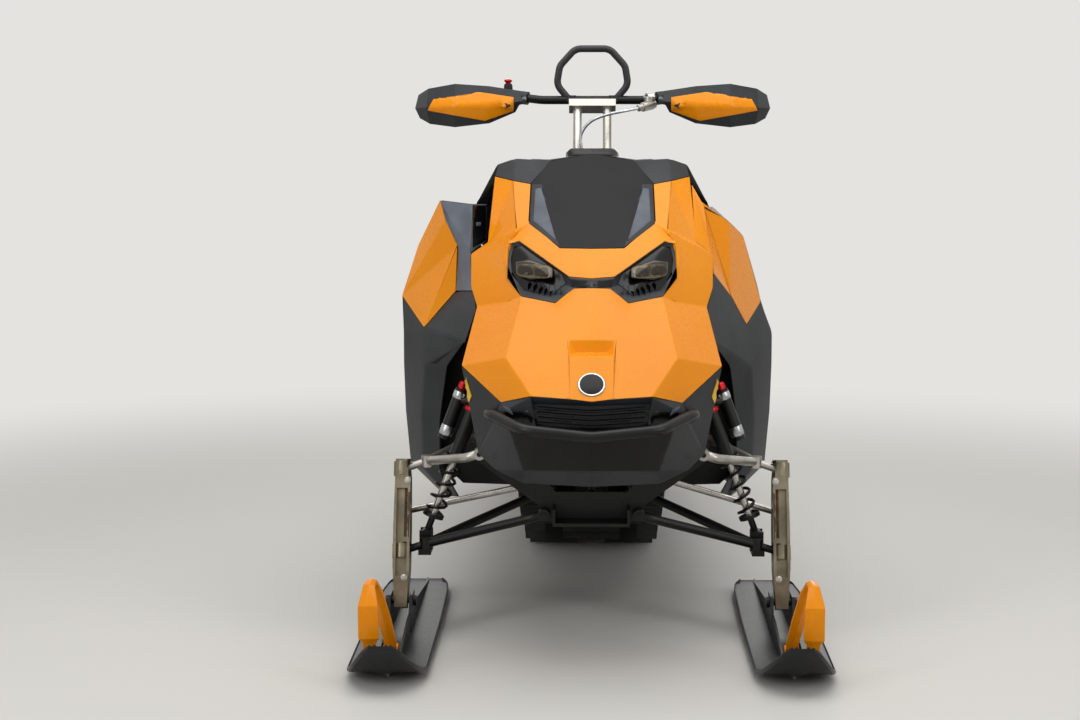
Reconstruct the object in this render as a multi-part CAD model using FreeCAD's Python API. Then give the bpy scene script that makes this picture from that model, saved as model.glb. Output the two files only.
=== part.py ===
"""A mountain snowmobile, built as separate pieces in millimetres.

+Z is up, the sled faces -Y, and +X is the rider's left. The origin is on the floor, under the middle of the
sled. Rest pose: steering straight ahead, both skis flat, lug tips and ski runners on the floor.
"""

import FreeCAD, Part
import math
import os

Vector = FreeCAD.Vector
X_AXIS = Vector(1, 0, 0)
Y_AXIS = Vector(0, 1, 0)
Z_AXIS = Vector(0, 0, 1)
ORIGIN = Vector(0, 0, 0)
OUT = "parts"

# Where the axles and the steering stand
SPINDLE_X = 455.0          # kingpin axis, each side of the middle
SPINDLE_Y = -1030.0
DRIVE_Y = -390.0
DRIVE_Z = 405.0
REAR_AXLE_Y = 1240.0
RUNNING_GAP = 0.3          # between pieces that only touch

# Track belt and its lugs
TRACK_WIDTH = 406.0
BELT = 8.0
LUG_HEIGHT = 76.0
LUG_PITCH = 88.9
LUG_BASE = 24.0
LUG_TIP = 10.0
DRIVE_RADIUS = 100.0
REAR_WHEEL_RADIUS = 90.0
CARRIER_RADIUS = 65.0
CARRIER_Y = 430.0
CARRIER_Z = 345.0
NOSE_RADIUS = 330.0        # curved front of the slide rails
NOSE_Y = 130.0
BELT_INSIDE_Z = LUG_HEIGHT + BELT

# Slide rails
RAIL_X = 130.0
RAIL_THICK = 12.0
RAIL_HEIGHT = 62.0
SLIDER = 14.0
SLIDER_WIDTH = 30.0

# Tunnel, a folded sheet over the track
SHEET = 3.0
TUNNEL_CLEARANCE = 12.0
TUNNEL_HALF = TRACK_WIDTH / 2 + TUNNEL_CLEARANCE + SHEET
TUNNEL_FRONT_Y = -600.0
TUNNEL_REAR_Y = 1330.0
TUNNEL_TOP_Z = 612.0
BOARD_Z = 335.0


def solid_of(points, triangles):
    """A closed solid from corner points and triangles, with its flat faces joined."""
    shape = Part.Shape()
    shape.makeShapeFromMesh(([Vector(*p) for p in points], triangles), 0.01)
    body = Part.makeSolid(shape)
    if body.Volume < 0:
        body.reverse()
    return body


def skin(rows, thickness):
    """A panel of even thickness: its outer face passes through a grid of points, row by row."""
    high, wide = len(rows), len(rows[0])
    outer = [Vector(*p) for row in rows for p in row]
    triangles = []
    for r in range(high - 1):
        for c in range(wide - 1):
            a, b = r * wide + c, r * wide + c + 1
            d, e = a + wide, b + wide
            if (outer[a] - outer[e]).Length <= (outer[b] - outer[d]).Length:
                triangles += [(a, b, e), (a, e, d)]
            else:
                triangles += [(a, b, d), (b, e, d)]
    normals = [Vector(0, 0, 0) for _ in outer]
    for a, b, c in triangles:
        n = (outer[b] - outer[a]).cross(outer[c] - outer[a])
        n.normalize()
        for i in (a, b, c):
            normals[i] = normals[i] + n
    inner = []
    for p, n in zip(outer, normals):
        n.normalize()
        inner.append(p - n * thickness)
    count = len(outer)
    rim = list(range(wide)) + [r * wide + wide - 1 for r in range(1, high)]
    rim += [(high - 1) * wide + c for c in range(wide - 2, -1, -1)] + [r * wide for r in range(high - 2, 0, -1)]
    closed = list(triangles) + [(c + count, b + count, a + count) for a, b, c in triangles]
    for i, a in enumerate(rim):
        b = rim[(i + 1) % len(rim)]
        closed += [(b, a, a + count), (b, a + count, b + count)]
    return solid_of([tuple(p) for p in outer + inner], closed).removeSplitter()


def box(x0, x1, y0, y1, z0, z1):
    return Part.makeBox(x1 - x0, y1 - y0, z1 - z0, Vector(x0, y0, z0))


def rod(start, end, radius, bore=0.0):
    """A round bar or tube between two points."""
    a, b = Vector(*start), Vector(*end)
    bar = Part.makeCylinder(radius, (b - a).Length, a, b - a)
    return bar.cut(Part.makeCylinder(bore, (b - a).Length, a, b - a)) if bore else bar


def prism(outline, axis, start, end):
    """An outline drawn in the plane across an axis ('x': y, z; 'y': x, z; 'z': x, y), pushed from start to end."""
    place = {"x": lambda u, v: Vector(start, u, v), "y": lambda u, v: Vector(u, start, v), "z": lambda u, v: Vector(u, v, start)}
    push = {"x": X_AXIS, "y": Y_AXIS, "z": Z_AXIS}[axis]
    points = [place[axis](u, v) for u, v in outline]
    return Part.Face(Part.makePolygon(points + points[:1])).extrude(push * (end - start))


def loft(sections):
    """A solid through closed polygons that all have as many corners."""
    rings = [[Vector(*p) for p in s] for s in sections]
    faces = [Part.Face(Part.makePolygon(ring + ring[:1])) for ring in (rings[0], rings[-1])]
    for low, high in zip(rings, rings[1:]):
        for i in range(len(low)):
            j = (i + 1) % len(low)
            faces += flat_faces(low[i], low[j], high[j], high[i])
    shell = Part.makeShell(faces)
    shell.sewShape()
    body = Part.makeSolid(shell)
    if body.Volume < 0:
        body.reverse()
    return body.removeSplitter()


def flat_faces(a, b, c, d):
    """Four corners as one flat face, or as two triangles where they don't lie in a plane."""
    normal = (b - a).cross(c - a)
    if normal.Length < 1e-6 or abs((d - a).dot(normal)) / normal.Length > 1e-6:
        corners = ((a, b, c), (a, c, d))
    else:
        corners = ((a, b, c, d),)
    return [Part.Face(Part.makePolygon(list(ring) + [ring[0]])) for ring in corners
            if (ring[1] - ring[0]).cross(ring[2] - ring[0]).Length > 1e-6]


def bent(points, radius, bend, bore=0.0):
    """A round bar or tube along straight runs, with round bends between them."""
    p = [Vector(*q) for q in points]
    bars, bores = [], []
    at = p[0]
    for i in range(1, len(p)):
        if i == len(p) - 1:
            start = p[i]
        else:
            back, ahead = p[i - 1] - p[i], p[i + 1] - p[i]
            shorter = min(back.Length, ahead.Length)
            back.normalize()
            ahead.normalize()
            half = back.getAngle(ahead) / 2
            reach = min(bend / math.tan(half), 0.45 * shorter)
            start, stop = p[i] + back * reach, p[i] + ahead * reach
        for shapes, r in ((bars, radius), (bores, bore)):
            if r:
                shapes.append(Part.makeCylinder(r, (start - at).Length, at, start - at))
        if i == len(p) - 1:
            break
        middle = back + ahead
        middle.normalize()
        centre = p[i] + middle * (reach / math.cos(half))
        axis = (start - centre).cross(stop - centre)
        for shapes, r in ((bars, radius), (bores, bore)):
            if r:
                ring = Part.Face(Part.Wire(Part.makeCircle(r, start, start - at)))
                shapes.append(outward(ring.revolve(centre, axis, 180 - math.degrees(2 * half))))
        at = stop
    bar = joined(bars)
    return bar.cut(joined(bores)) if bore else bar


def outward(solid):
    """The same solid with its faces turned outward."""
    if solid.Volume < 0:
        solid.reverse()
    return solid


def joined(shapes):
    """Several solids that overlap, made into one piece."""
    first, rest = shapes[0], shapes[1:]
    return first.multiFuse(rest).removeSplitter() if rest else first


def less(shape, *tools):
    """A piece with other shapes taken out of it."""
    for tool in tools:
        shape = shape.cut(tool)
    return shape


def mirrored(shape):
    return shape.mirror(ORIGIN, X_AXIS)


PIECES = {}


def keep(name, *shapes):
    """Files a piece: one or more closed solids that don't overlap."""
    solids = [s for shape in shapes for s in shape.Solids]
    PIECES[name] = Part.makeCompound(solids) if len(solids) > 1 else solids[0]


# Track loop: circles that the belt's inside wraps round, in the order that it meets them, counterclockwise from +X
LOOP = (
    # y, z, radius
    (NOSE_Y, BELT_INSIDE_Z + NOSE_RADIUS, NOSE_RADIUS),
    (REAR_AXLE_Y, BELT_INSIDE_Z + REAR_WHEEL_RADIUS, REAR_WHEEL_RADIUS),
    (CARRIER_Y, CARRIER_Z, CARRIER_RADIUS),
    (DRIVE_Y, DRIVE_Z, DRIVE_RADIUS),
)


def tangent_angle(a, b):
    """Direction of the straight run from one circle to the next."""
    along = math.atan2(b[1] - a[1], b[0] - a[0])
    return along + math.asin((a[2] - b[2]) / math.hypot(b[0] - a[0], b[1] - a[1]))


def loop_parts(offset):
    """The loop, moved out from the belt's inside: arcs (centre, radius, first angle, last angle) and the runs between."""
    heading = [tangent_angle(LOOP[i], LOOP[(i + 1) % len(LOOP)]) for i in range(len(LOOP))]
    arcs = []
    for i, (y, z, radius) in enumerate(LOOP):
        first, last = heading[i - 1] - math.pi / 2, heading[i] - math.pi / 2
        while last < first:
            last += 2 * math.pi
        arcs.append(((y, z), radius + offset, first, last))
    return arcs


def on_circle(centre, radius, angle):
    return Vector(0, centre[0] + radius * math.cos(angle), centre[1] + radius * math.sin(angle))


def loop_face(offset):
    arcs = loop_parts(offset)
    edges = []
    for i, (centre, radius, first, last) in enumerate(arcs):
        start, middle, stop = (on_circle(centre, radius, t) for t in (first, (first + last) / 2, last))
        edges.append(Part.Arc(start, middle, stop).toShape())
        following = arcs[(i + 1) % len(arcs)]
        edges.append(Part.LineSegment(stop, on_circle(following[0], following[1], following[2])).toShape())
    return Part.Face(Part.Wire(edges))


def loop_stations(offset, pitch):
    """Evenly spaced places along the loop: (y, z, outward angle)."""
    arcs = loop_parts(offset)
    legs = []
    for i, (centre, radius, first, last) in enumerate(arcs):
        legs.append(("arc", radius * (last - first), (centre, radius, first)))
        following = arcs[(i + 1) % len(arcs)]
        a, b = on_circle(centre, radius, last), on_circle(following[0], following[1], following[2])
        legs.append(("run", (b - a).Length, (a, b, last)))
    total = sum(leg[1] for leg in legs)
    count = round(total / pitch)
    found = []
    for k in range(count):
        s = total * k / count
        for kind, length, facts in legs:
            if s > length:
                s -= length
                continue
            if kind == "arc":
                angle = facts[2] + s / facts[1]
                place = on_circle(facts[0], facts[1], angle)
            else:
                angle = facts[2]
                place = facts[0] + (facts[1] - facts[0]) * (s / length)
            found.append((place.y, place.z, angle))
            break
    return found


def lug(x0, x1, y, z, angle):
    """One rubber paddle that stands on the belt, tapered to its tip."""
    root = 2.0
    paddle = Part.makeWedge(x0, -root, -LUG_BASE / 2, -LUG_TIP / 2, x0 + 6, x1, LUG_HEIGHT, LUG_BASE / 2, LUG_TIP / 2, x1 - 6)
    paddle.rotate(ORIGIN, X_AXIS, math.degrees(angle))
    paddle.translate(Vector(0, y, z))
    return paddle


def make_track():
    half = TRACK_WIDTH / 2
    belt = loop_face(BELT).cut(loop_face(0))
    belt.translate(Vector(-half, 0, 0))
    belt = belt.extrude(Vector(TRACK_WIDTH, 0, 0))
    rows = (
        # spans of the paddles across the belt, as shares of its half width
        ((-0.95, -0.62), (-0.42, 0.42), (0.62, 0.95)),
        ((-0.90, -0.16), (0.16, 0.90)),
    )
    lugs = []
    for k, (y, z, angle) in enumerate(loop_stations(BELT, LUG_PITCH)):
        for a, b in rows[k % 2]:
            lugs.append(lug(a * half, b * half, y, z, angle))
    keep("track", joined([belt] + lugs))


RAIL_BOTTOM_Z = BELT_INSIDE_Z + SLIDER + RUNNING_GAP
RAIL_REAR_Y = REAR_AXLE_Y + 30.0
RAIL_NOSE_ANGLE = math.radians(34)
REAR_AXLE_Z = BELT_INSIDE_Z + REAR_WHEEL_RADIUS
SHAFT_RADIUS = 11.0
SHAFT = 12.5               # carrier and rear axle
FRONT_ARM_FOOT = (180.0, RAIL_BOTTOM_Z + 36.0)
REAR_ARM_FOOT = (820.0, RAIL_BOTTOM_Z + 36.0)
FRONT_ARM_HEAD = (-140.0, 385.0)
REAR_ARM_HEAD = (CARRIER_Y, CARRIER_Z)
SHOCK_SHAFTS = ((330.0, FRONT_ARM_FOOT[1]), (470.0, FRONT_ARM_FOOT[1]))
SLIDER_REAR_Y = 1215.0
ARM_SLEEVE = 17.0
HEAD_TUBE = 16.0


def rail_outline(low, high):
    """Side view of a rail or of its slider, between two heights over the belt's inside, nose curved up."""
    centre = (NOSE_Y, BELT_INSIDE_Z + NOSE_RADIUS)
    start, stop = -math.pi / 2 - RAIL_NOSE_ANGLE, -math.pi / 2

    def arc(radius):
        return [on_circle(centre, radius, t) for t in (start, (start + stop) / 2, stop)]

    lower, upper = arc(NOSE_RADIUS - low), arc(NOSE_RADIUS - high)
    z0, z1 = BELT_INSIDE_Z + low, BELT_INSIDE_Z + high
    end0, end1 = Vector(0, RAIL_REAR_Y, z0), Vector(0, RAIL_REAR_Y - 0.4 * (high - low), z1)
    edges = [
        Part.Arc(*lower).toShape(),
        Part.LineSegment(lower[2], end0).toShape(),
        Part.LineSegment(end0, end1).toShape(),
        Part.LineSegment(end1, upper[2]).toShape(),
        Part.Arc(*reversed(upper)).toShape(),
        Part.LineSegment(upper[0], lower[0]).toShape(),
    ]
    return Part.Face(Part.Wire(edges))


def slot(y, z, length, height, x0, x1):
    """A long hole with round ends, cut across the sled."""
    r = height / 2
    half = length / 2 - r
    ends = [Part.makeCylinder(r, x1 - x0, Vector(x0, y + s * half, z), X_AXIS) for s in (-1, 1)]
    return joined([box(x0, x1, y - half, y + half, z - r, z + r)] + ends)


def make_rails():
    low, high = SLIDER + RUNNING_GAP, SLIDER + RAIL_HEIGHT
    middle = RAIL_BOTTOM_Z + RAIL_HEIGHT / 2
    rails = []
    for side in (1, -1):
        x0 = side * RAIL_X - RAIL_THICK / 2
        plate = rail_outline(low, high)
        plate.translate(Vector(x0, 0, 0))
        plate = plate.extrude(Vector(RAIL_THICK, 0, 0))
        holes = [slot(y, middle, 90, 26, x0 - 1, x0 + RAIL_THICK + 1) for y in (585, 700, 940, 1050)]
        shafts = [rod((x0 - 1, y, z), (x0 + RAIL_THICK + 1, y, z), SHAFT_RADIUS + RUNNING_GAP)
                  for y, z in (FRONT_ARM_FOOT, REAR_ARM_FOOT) + SHOCK_SHAFTS]
        axle = rod((x0 - 1, REAR_AXLE_Y, REAR_AXLE_Z), (x0 + RAIL_THICK + 1, REAR_AXLE_Y, REAR_AXLE_Z), SHAFT + RUNNING_GAP)
        bracket = prism(((REAR_AXLE_Y - 90, RAIL_BOTTOM_Z + 20), (REAR_AXLE_Y - 30, REAR_AXLE_Z + 26),
                         (REAR_AXLE_Y + 20, REAR_AXLE_Z + 26), (REAR_AXLE_Y + 27, RAIL_BOTTOM_Z + 20)), "x", x0, x0 + RAIL_THICK)
        rails.append(less(joined([plate, bracket]), *holes, *shafts, axle))
    keep("rails", *rails)
    strips = []
    for side in (1, -1):
        strip = rail_outline(RUNNING_GAP, SLIDER)
        strip.translate(Vector(side * RAIL_X - SLIDER_WIDTH / 2, 0, 0))
        strip = strip.extrude(Vector(SLIDER_WIDTH, 0, 0))
        strips.append(strip.cut(box(-400, 400, SLIDER_REAR_Y, SLIDER_REAR_Y + 200, 0, 300)))
    keep("rail_sliders", *strips)


def wheel(radius, width, hub, centre, spokes=5):
    """A moulded idler wheel on the x axis: rubber rim, dished web with holes, hub."""
    x, y, z = centre
    outline = ((hub, -width / 2 - 3), (hub + 12, -width / 2 - 3), (hub + 16, -5), (radius - 14, -5), (radius - 12, -width / 2),
               (radius - 3, -width / 2), (radius, -width / 2 + 3), (radius, width / 2 - 3), (radius - 3, width / 2),
               (radius - 12, width / 2), (radius - 14, 5), (hub + 16, 5), (hub + 12, width / 2 + 3), (hub, width / 2 + 3))
    points = [Vector(a, r, 0) for r, a in outline]
    turned = Part.Face(Part.makePolygon(points + points[:1])).revolve(ORIGIN, X_AXIS, 360)
    reach = (hub + 16 + radius - 14) / 2
    bore = 0.36 * (radius - hub - 30)
    turned = outward(turned)
    for k in range(spokes):
        angle = 2 * math.pi * k / spokes
        turned = turned.cut(Part.makeCylinder(bore, width, Vector(-width / 2, reach * math.cos(angle), reach * math.sin(angle)), X_AXIS))
    turned.translate(Vector(x, y, z))
    return turned


def make_wheels():
    shaft = SHAFT
    half = TUNNEL_HALF - SHEET - RUNNING_GAP
    rear = [rod((-190, REAR_AXLE_Y, REAR_AXLE_Z), (190, REAR_AXLE_Y, REAR_AXLE_Z), shaft)]
    for x in (-170, 0, 170):
        rear.append(wheel(REAR_WHEEL_RADIUS - RUNNING_GAP, 26, shaft - 1, (x, REAR_AXLE_Y, REAR_AXLE_Z)))
    keep("rear_axle_wheels", joined(rear))
    carrier = [rod((-half, CARRIER_Y, CARRIER_Z), (half, CARRIER_Y, CARRIER_Z), shaft)]
    for x in (-80, 80):
        carrier.append(wheel(CARRIER_RADIUS - RUNNING_GAP, 24, shaft - 1, (x, CARRIER_Y, CARRIER_Z)))
    keep("carrier_wheels", joined(carrier))
    drive = [rod((-half, DRIVE_Y, DRIVE_Z), (half, DRIVE_Y, DRIVE_Z), 18)]
    radius = DRIVE_RADIUS - RUNNING_GAP
    for x in (-85, 85):
        disc = rod((x - 22, DRIVE_Y, DRIVE_Z), (x + 22, DRIVE_Y, DRIVE_Z), radius)
        for k in range(8):
            angle = math.pi / 4 * k
            notch = Part.makeCylinder(20, 60, Vector(x - 30, DRIVE_Y + radius * 1.06 * math.cos(angle),
                                                    DRIVE_Z + radius * 1.06 * math.sin(angle)), X_AXIS)
            hole = Part.makeCylinder(12, 60, Vector(x - 30, DRIVE_Y + 58 * math.cos(angle + math.pi / 8),
                                                   DRIVE_Z + 58 * math.sin(angle + math.pi / 8)), X_AXIS)
            disc = disc.cut(notch).cut(hole)
        drive.append(disc)
    keep("drive_axle", joined(drive))


def make_skid_arms():
    """Two swing arms that hang the rails from the tunnel."""
    half = TUNNEL_HALF - SHEET - RUNNING_GAP
    inner = RAIL_X - RAIL_THICK / 2 - 6
    spread = inner - 18
    carrier_bore = SHAFT + RUNNING_GAP
    for name, head, foot in (("front_swing_arm", FRONT_ARM_HEAD, FRONT_ARM_FOOT), ("rear_swing_arm", REAR_ARM_HEAD, REAR_ARM_FOOT)):
        (hy, hz), (fy, fz) = head, foot
        shaft = rod((-RAIL_X - RAIL_THICK, fy, fz), (RAIL_X + RAIL_THICK, fy, fz), SHAFT_RADIUS)
        sleeve = rod((6 - inner, fy, fz), (inner - 6, fy, fz), ARM_SLEEVE)
        if head == FRONT_ARM_HEAD:
            top = [rod((-half, hy, hz), (half, hy, hz), HEAD_TUBE)]
            legs = [rod((s * spread, hy, hz), (s * (spread - 8), fy, fz), 13) for s in (-1, 1)]
        else:
            top = [rod((s * 108, hy, hz), (s * 126, hy, hz), 24, carrier_bore) for s in (-1, 1)]
            legs = [rod((s * 117, hy, hz), (s * (spread - 8), fy, fz), 12).cut(rod((s * 90, hy, hz), (s * 140, hy, hz), carrier_bore))
                    for s in (-1, 1)]
        keep(name, joined([shaft, sleeve] + top + legs))


def skid_shock(start, end, start_radius, end_radius):
    """A shock in the sled's middle, with its cross shaft at the end and a ring round the arm's tube at the start."""
    a, b = Vector(0, *start), Vector(0, *end)
    along = b - a
    along.normalize()
    body = rod(tuple(a + along * (start_radius + 6)), tuple(a + along * 210), 22)
    piston = rod(tuple(a + along * 200), tuple(b - along * 12), 7)
    collar = rod(tuple(a + along * 196), tuple(a + along * 206), 27)
    rings = [rod((-16, p.y, p.z), (16, p.y, p.z), r + 9) for p, r in ((a, start_radius), (b, end_radius - 2))]
    cross = RAIL_X + RAIL_THICK
    shaft = rod((-cross, b.y, b.z), (cross, b.y, b.z), end_radius)
    whole = joined([body, piston, collar, shaft] + rings)
    return whole.cut(rod((-20, a.y, a.z), (20, a.y, a.z), start_radius + RUNNING_GAP))


def make_skid_shocks():
    keep("skid_shocks",
         skid_shock(FRONT_ARM_HEAD, SHOCK_SHAFTS[0], HEAD_TUBE, SHAFT_RADIUS),
         skid_shock(REAR_ARM_FOOT, SHOCK_SHAFTS[1], ARM_SLEEVE, SHAFT_RADIUS))


TUNNEL = (
    # y, z of the top, z of the lower edge
    (TUNNEL_FRONT_Y, TUNNEL_TOP_Z + 40, BOARD_Z),
    (-330.0, TUNNEL_TOP_Z + 10, BOARD_Z),
    (780.0, TUNNEL_TOP_Z - 40, BOARD_Z),
    (1120.0, TUNNEL_TOP_Z - 40, 400.0),
    (TUNNEL_REAR_Y, TUNNEL_TOP_Z - 75, 440.0),
)
CHAMFER = 26.0
ACCESSORY_Y = 950.0
ACCESSORY_X = 120.0
ACCESSORY_PITCH = 250.0
ACCESSORY_RADIUS = 5.0


def tunnel_top(y):
    """Height of the tunnel's top sheet at a place along it."""
    for (y0, top0, _), (y1, top1, _) in zip(TUNNEL, TUNNEL[1:]):
        if y <= y1:
            return top0 + (top1 - top0) * (y - y0) / (y1 - y0)
    return TUNNEL[-1][1]


def make_tunnel():
    sections = []
    half, inner = TUNNEL_HALF, TUNNEL_HALF - SHEET
    for y, top, low in TUNNEL:
        sections.append([(x, y, z) for x, z in (
            (-half, low), (-inner, low), (-inner, top - CHAMFER), (-half + CHAMFER, top - SHEET), (half - CHAMFER, top - SHEET),
            (inner, top - CHAMFER), (inner, low), (half, low), (half, top - CHAMFER + 1), (half - CHAMFER + 1, top),
            (-half + CHAMFER - 1, top), (-half, top - CHAMFER + 1))])
    shell = loft(sections)
    holes = []
    for x in (-ACCESSORY_X, ACCESSORY_X):
        for y in (ACCESSORY_Y - ACCESSORY_PITCH / 2, ACCESSORY_Y + ACCESSORY_PITCH / 2):
            low = Vector(x, y, tunnel_top(y) - 2 * SHEET)
            holes.append(Part.makeCylinder(ACCESSORY_RADIUS, 3 * SHEET, low))
    for y, z, length in ((860, 500, 120), (1020, 500, 120), (1180, 500, 90)):
        holes.append(slot(y, z - 0.05 * (y - 860), length, 26, -half - 1, half + 1))
    keep("tunnel", less(shell, *holes))


RUNNING_BOARD_FRONT_Y = -432.0
RUNNING_BOARD_REAR_Y = 860.0
RUNNING_BOARD_OUT_X = 400.0
REAR_BUMPER_REACH = 1440.0
FLAP_REAR_Y = 1600.0


def make_running_boards():
    boards = []
    inner = TUNNEL_HALF + RUNNING_GAP
    for side in (1, -1):
        deck = box(inner, RUNNING_BOARD_OUT_X - 10, RUNNING_BOARD_FRONT_Y, RUNNING_BOARD_REAR_Y, BOARD_Z, BOARD_Z + SHEET)
        hem = box(inner, inner + SHEET, RUNNING_BOARD_FRONT_Y, RUNNING_BOARD_REAR_Y, BOARD_Z, BOARD_Z + 30)
        edge = bent(((RUNNING_BOARD_OUT_X - 12, RUNNING_BOARD_FRONT_Y, BOARD_Z + 9),
                     (RUNNING_BOARD_OUT_X - 12, RUNNING_BOARD_REAR_Y, BOARD_Z + 9),
                     (inner + 7, RUNNING_BOARD_REAR_Y + 110, BOARD_Z + 70)), 12, 60)
        holes = [window(x, y, *size) for y in range(-360, 820, 120) for x, size in ((300, (62, 92)), (356, (26, 60)))]
        board = joined([less(deck, *holes), hem, edge])
        board = board.cut(box(-TUNNEL_HALF, inner, -700, 1100, 200, 600))
        boards.append(board if side == 1 else mirrored(board))
    keep("running_boards", *boards)


def window(x, y, width, length):
    """A snow hole through the deck, with clipped corners."""
    a, b, clip = width / 2, length / 2, 0.3 * min(width, length)
    outline = ((a, clip - b), (a, b - clip), (a - clip, b), (clip - a, b), (-a, b - clip), (-a, clip - b), (clip - a, -b), (a - clip, -b))
    return prism([(x + u, y + v) for u, v in outline], "z", BOARD_Z - 1, BOARD_Z + SHEET + 1)


def make_tail():
    top = tunnel_top(TUNNEL_REAR_Y)
    inner = TUNNEL_HALF - SHEET - RUNNING_GAP
    y0 = TUNNEL_REAR_Y - 200
    bar = bent(((inner - 14, y0, 480), (inner - 14, REAR_BUMPER_REACH, 500), (inner - 60, REAR_BUMPER_REACH + 40, 505),
                (60 - inner, REAR_BUMPER_REACH + 40, 505), (14 - inner, REAR_BUMPER_REACH, 500), (14 - inner, y0, 480)), 13.5, 40)
    keep("rear_bumper", bar)
    lamp_y = TUNNEL_REAR_Y - 30
    lamp = loft([[(x * wide, y, z) for x, z in ((-1, 0), (1, 0), (1, 22), (0.9, 30), (-0.9, 30), (-1, 22))]
                 for y, wide in ((lamp_y - 60, 70), (lamp_y + 24, 90))])
    lamp.translate(Vector(0, 0, tunnel_top(lamp_y - 60) + RUNNING_GAP))
    keep("tail_light", lamp)
    half = 180.0
    under = SHEET + RUNNING_GAP
    rows = ((TUNNEL_REAR_Y - 70, tunnel_top(TUNNEL_REAR_Y - 70) - under), (TUNNEL_REAR_Y, top - under),
            (TUNNEL_REAR_Y + 60, top - under - 26),
            (FLAP_REAR_Y - 120, 400.0), (FLAP_REAR_Y - 40, 300.0), (FLAP_REAR_Y, 232.0))
    flap = skin([[(x, y, z) for x in (-half, half)] for y, z in rows], 4.0)
    if flap.Volume < 0:
        flap.reverse()
    keep("snow_flap", flap)


CASTER = math.radians(18)
LOWER_BALL = (SPINDLE_X, SPINDLE_Y, 204.0)
BALL_GAP = 200.0
SKI_BOLT_DOWN = 118.0
STEER_ARM = 85.0
STEER_ARM_UP = 90.0
CRANK = (0.0, -1003.0, 424.0)
ROD_RADIUS = 8.0
ROD_PIN = 6.0
ROD_EYE = 13.0
ROD_LIFT = 18.0
BOLT_FIT = 0.05            # radial clearance of pieces that turn on a pin
SKI_BOLT_RADIUS = 8.0


def lean(shape, centre):
    """Turns a piece built upright at the origin into the raked steering line and puts it in place."""
    shape.rotate(ORIGIN, X_AXIS, -math.degrees(CASTER))
    shape.translate(Vector(*centre))
    return shape


def leaned(point, centre):
    """Where a point of such a piece ends up."""
    x, y, z = point
    s, c = math.sin(CASTER), math.cos(CASTER)
    return (centre[0] + x, centre[1] + y * c + z * s, centre[2] - y * s + z * c)


def side_of(point, side):
    return (point[0] * side, point[1], point[2])


UPPER_BALL = leaned((0, 0, BALL_GAP), LOWER_BALL)
SKI_BOLT = leaned((0, 0, -SKI_BOLT_DOWN), LOWER_BALL)
FRONT_PLATE_Y = -1120.0
REAR_PLATE_Y = -870.0
PLATE = 18.0
UPPER_PIVOT = (262.0, 460.0)
LOWER_PIVOT = (112.0, 316.0)
SHOCK_TOP = (262.0, -985.0, 606.0)
SHOCK_FOOT = (400.0, -985.0, 238.0)
HOOP_Z = 646.0
BALL_RADIUS = 13.0
COLUMN_FOOT = Vector(0, -985, 482)
BAR_CENTRE = Vector(0, -515, 1283)


PIVOT_PIN = 6.0
EYE_HALF = 15.0
EYE_GAP = 3.0
ELBOW = 30.0               # straight stretch of an arm's leg next to its eye
APEX = 62.0                # where an arm's two legs meet, inboard of its ball
STEM = 9.0
SOCKET_RADIUS = 24.0       # round housings of the ball joints on the ski leg
SOCKET_HALF = 17.0
MOUTH_ROOM = 3.0           # between a ball's stem and the mouth of its housing
STEER_LIMIT = math.radians(30)


def pivot_ys():
    """Middles of an arm's two eyes, outside the front and rear plates of the frame."""
    return FRONT_PLATE_Y - EYE_HALF - EYE_GAP, REAR_PLATE_Y + PLATE + EYE_HALF + EYE_GAP


def a_arm(side, pivot, ball, tube, eye_radius):
    """One A-shaped arm: two eyes on the frame, two legs, and a stem with a ball for the ski leg."""
    x, z = side * pivot[0], pivot[1]
    tip = Vector(*side_of(ball, side))
    toward = Vector(x, tip.y, z) - tip
    toward.normalize()
    apex = tip + toward * APEX
    up = Vector(0, 0, tube + 3)
    parts = [rod(tuple(apex - toward * 6), tuple(tip), STEM), Part.makeSphere(BALL_RADIUS, tip),
             rod(tuple(apex - up), tuple(apex + up), tube + 5)]
    for y in pivot_ys():
        elbow = (x + side * ELBOW, y, z - ELBOW * abs(toward.z / toward.x) * (1 if toward.z > 0 else -1))
        parts.append(bent(((x, y, z), elbow, tuple(apex)), tube, 40))
        parts.append(rod((x, y - EYE_HALF, z), (x, y + EYE_HALF, z), eye_radius))
    arm = joined(parts)
    return less(arm, *[rod((x, y - 30, z), (x, y + 30, z), PIVOT_PIN + RUNNING_GAP) for y in pivot_ys()])


def make_arms():
    keep("upper_arms", *[a_arm(s, UPPER_PIVOT, UPPER_BALL, 11, 14) for s in (1, -1)])
    lowers = []
    for side in (1, -1):
        arm = a_arm(side, LOWER_PIVOT, LOWER_BALL, 11, 14)
        x, y, z = side_of(SHOCK_FOOT, side)
        ears = [box(x - 15, x + 15, *span, z - 40, z + 12) for span in ((y - 24, y - EYE_HALF - RUNNING_GAP), (y + EYE_HALF + RUNNING_GAP, y + 24))]
        ears.append(box(x - 15, x + 15, y - 62, y + 24, z - 40, z - 26))
        pin = rod((x, y - 24, z), (x, y + 24, z), PIVOT_PIN)
        lowers.append(joined([arm, pin] + ears))
    keep("lower_arms", *lowers)


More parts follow.
